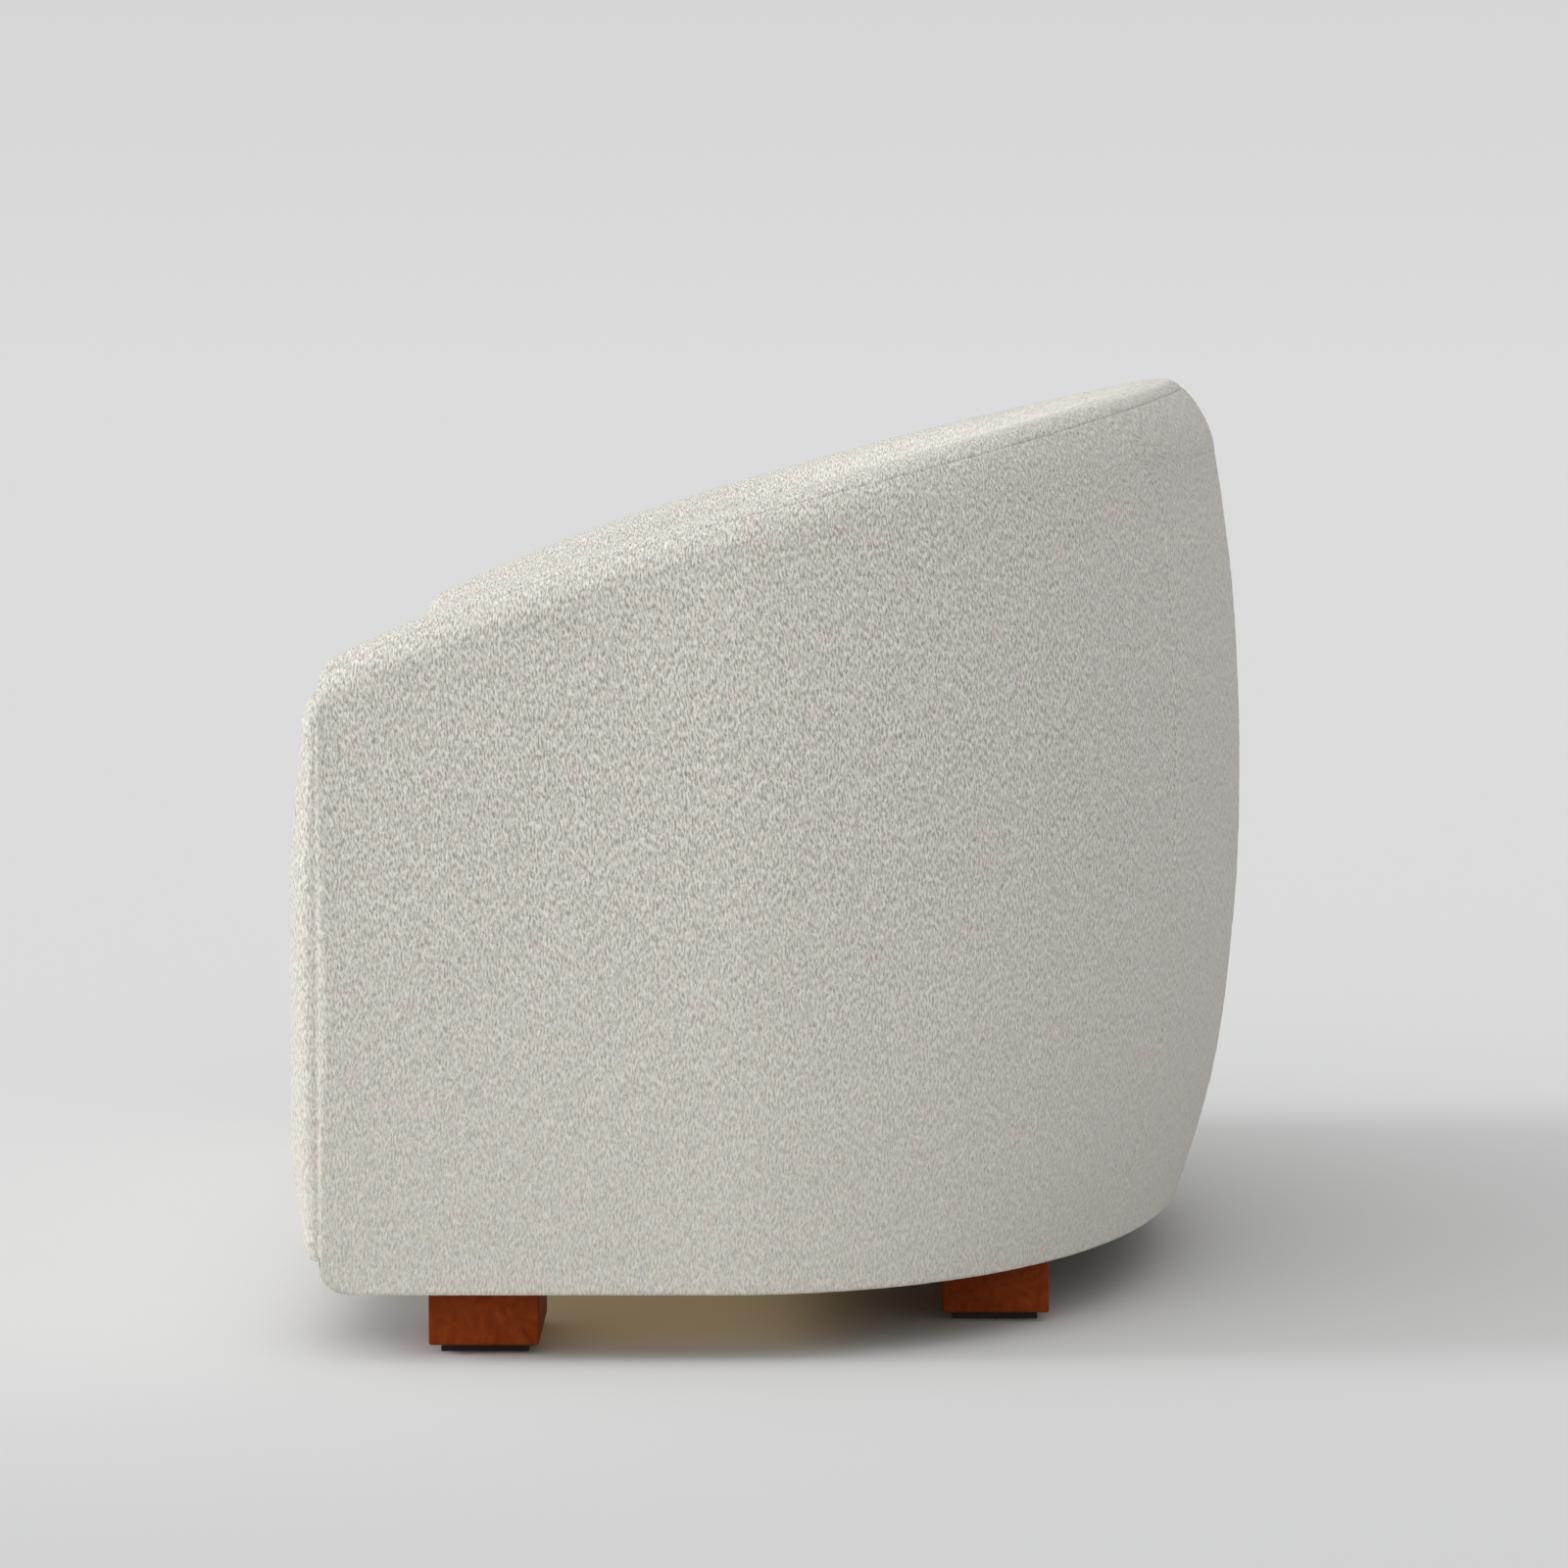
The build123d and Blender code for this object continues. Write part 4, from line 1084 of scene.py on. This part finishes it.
# ---- studio ----
@dataclass
class Studio:
    """Pale floor and backdrop, a soft key from the sofa's front, and the camera at its left side."""
    camera_place: Triple = (5.25, -0.0096, 0.781)
    pitch_down: float = 4.0
    lens: float = 130.5
    floor_size: float = 400.0
    key_strength: float = 1.1
    key_angle: float = 18.0
    key_from: Triple = (0.06, -1.0, 0.44)
    sky: float = 0.66
    sky_lean: Triple = (0.42, -0.64, 0.3)
    horizon: float = 0.38
    under_power: float = 0.3
    under_half: Pair = (mm(665), mm(150))
    under_place: Triple = (0.0, mm(-140), mm(51))

    def build(self) -> None:
        """Build floor, world, lamps and camera."""
        for part in (self.floor, self.world, self.key, self.under_light, self.camera):
            part()

    def place(self, name: str, data: bpy.types.ID) -> Object:
        """Put a lamp or the camera into the scene."""
        holder = bpy.data.objects.new(name, data)
        bpy.context.scene.collection.objects.link(holder)
        return holder

    def floor(self) -> None:
        """Large plain floor whose colour darkens a little towards the camera, as painted shade."""
        half = self.floor_size / 2
        points = np.array([[-half, -half, 0], [half, -half, 0], [half, half, 0], [-half, half, 0]], float)
        material, tree, shader = new_material("pale_floor")
        split = add(tree, "SeparateXYZ", {0: mapped(tree, "Object", (1, 1, 1))})
        # painted shade: the floor's colour darkens towards the camera
        near = ranged(tree, split.outputs[0], (0.4, 1.7), curve="SMOOTHSTEP")
        colour = ramp(tree, near, [(0.0, "e1e2e4"), (1.0, "d7d8db")])
        feed(tree, shader, {"Base Color": colour, "Roughness": 1.0, "Specular IOR Level": 0.0})
        mesh_object("floor", points, np.array([[0, 1, 2, 3]]), material)

    def world(self) -> None:
        """Soft light, warmer near the horizon, that shows as a pale grey backdrop."""
        world = bpy.data.worlds.new("studio")
        bpy.context.scene.world = world
        world.use_nodes = True
        tree = world.node_tree
        tree.nodes.clear()
        path = add(tree, "LightPath").outputs
        seen = reckon(tree, "MAXIMUM", path["Is Camera Ray"], path["Is Glossy Ray"])
        seen = reckon(tree, "MAXIMUM", seen, path["Is Transmission Ray"])
        way = add(tree, "SeparateXYZ", {0: add(tree, "TexCoord").outputs["Generated"]}).outputs
        shade = ramp(tree, ranged(tree, way[2], (0.0, 0.068)), [(0.0, "dcdcdc"), (1.0, "d6d6d6")])
        lean: Socket | float = self.sky
        for axis, share in enumerate(self.sky_lean):
            lean = reckon(tree, "MULTIPLY_ADD", way[axis], share * self.sky, lean)
        level = reckon(tree, "SUBTRACT", 1.0, way[2], use_clamp=True)
        glow = reckon(tree, "POWER", level, 4.0)
        bright = reckon(tree, "MULTIPLY_ADD", glow, self.horizon * self.sky, lean)
        warmth = ramp(tree, way[2], [(0.0, "fff7e6"), (0.55, "fffefb"), (1.0, "fdfeff")])
        light = add(tree, "Background", {"Color": warmth, "Strength": bright})
        backdrop = add(tree, "Background", {"Color": shade, "Strength": 1.0})
        both = add(tree, "MixShader", {0: seen, 1: light.outputs[0], 2: backdrop.outputs[0]})
        add(tree, "OutputWorld", {"Surface": both.outputs[0]})

    def key(self) -> None:
        """One broad lamp far off in front of the sofa."""
        lamp = bpy.data.lights.new("key", "SUN")
        lamp.energy, lamp.angle = self.key_strength, math.radians(self.key_angle)
        holder = self.place("key", lamp)
        holder.rotation_mode = "QUATERNION"
        holder.rotation_quaternion = (-Vector(self.key_from)).to_track_quat("-Z", "Y")

    def under_light(self) -> None:
        """Weak warm lamp under the base, for the light that floor and base pass to one another."""
        lamp = bpy.data.lights.new("under", "AREA")
        lamp.shape = "RECTANGLE"
        lamp.size, lamp.size_y = 2 * self.under_half[0], 2 * self.under_half[1]
        lamp.energy, lamp.color = self.under_power, linear("ffdda6")[:3]
        holder = self.place("under", lamp)
        holder.location = self.under_place
        holder.visible_camera = False

    def camera(self) -> None:
        """Level with the rim, looking along -X and a little down."""
        data = bpy.data.cameras.new("camera")
        data.lens, data.sensor_width, data.clip_end = self.lens, 36.0, 500.0
        camera = self.place("camera", data)
        camera.location = self.camera_place
        camera.rotation_euler = (math.radians(90 - self.pitch_down), 0.0, RIGHT_ANGLE)
        bpy.context.scene.camera = camera
        bpy.context.scene.view_settings.view_transform = "Standard"


def main() -> None:
    logging.basicConfig(level=logging.INFO, format="%(message)s")
    wardrobe = Wardrobe()
    wardrobe.dress_solids()
    finish = wardrobe.by_slot
    shape = WallShape()
    pieces = Covers(shape, finish["boucle"]).build()
    pieces += Fronts(shape, finish["boucle"]).build()
    pieces += [SeatCushion(shape, finish["cushion_boucle"], side).build() for side in Side]
    pieces += Legs(finish["leg_wood"]).build()
    for piece in pieces:
        LOG.info("%s: %d faces", piece.name, len(piece.data.polygons))
    Studio().build()


if __name__ == "__main__":
    main()
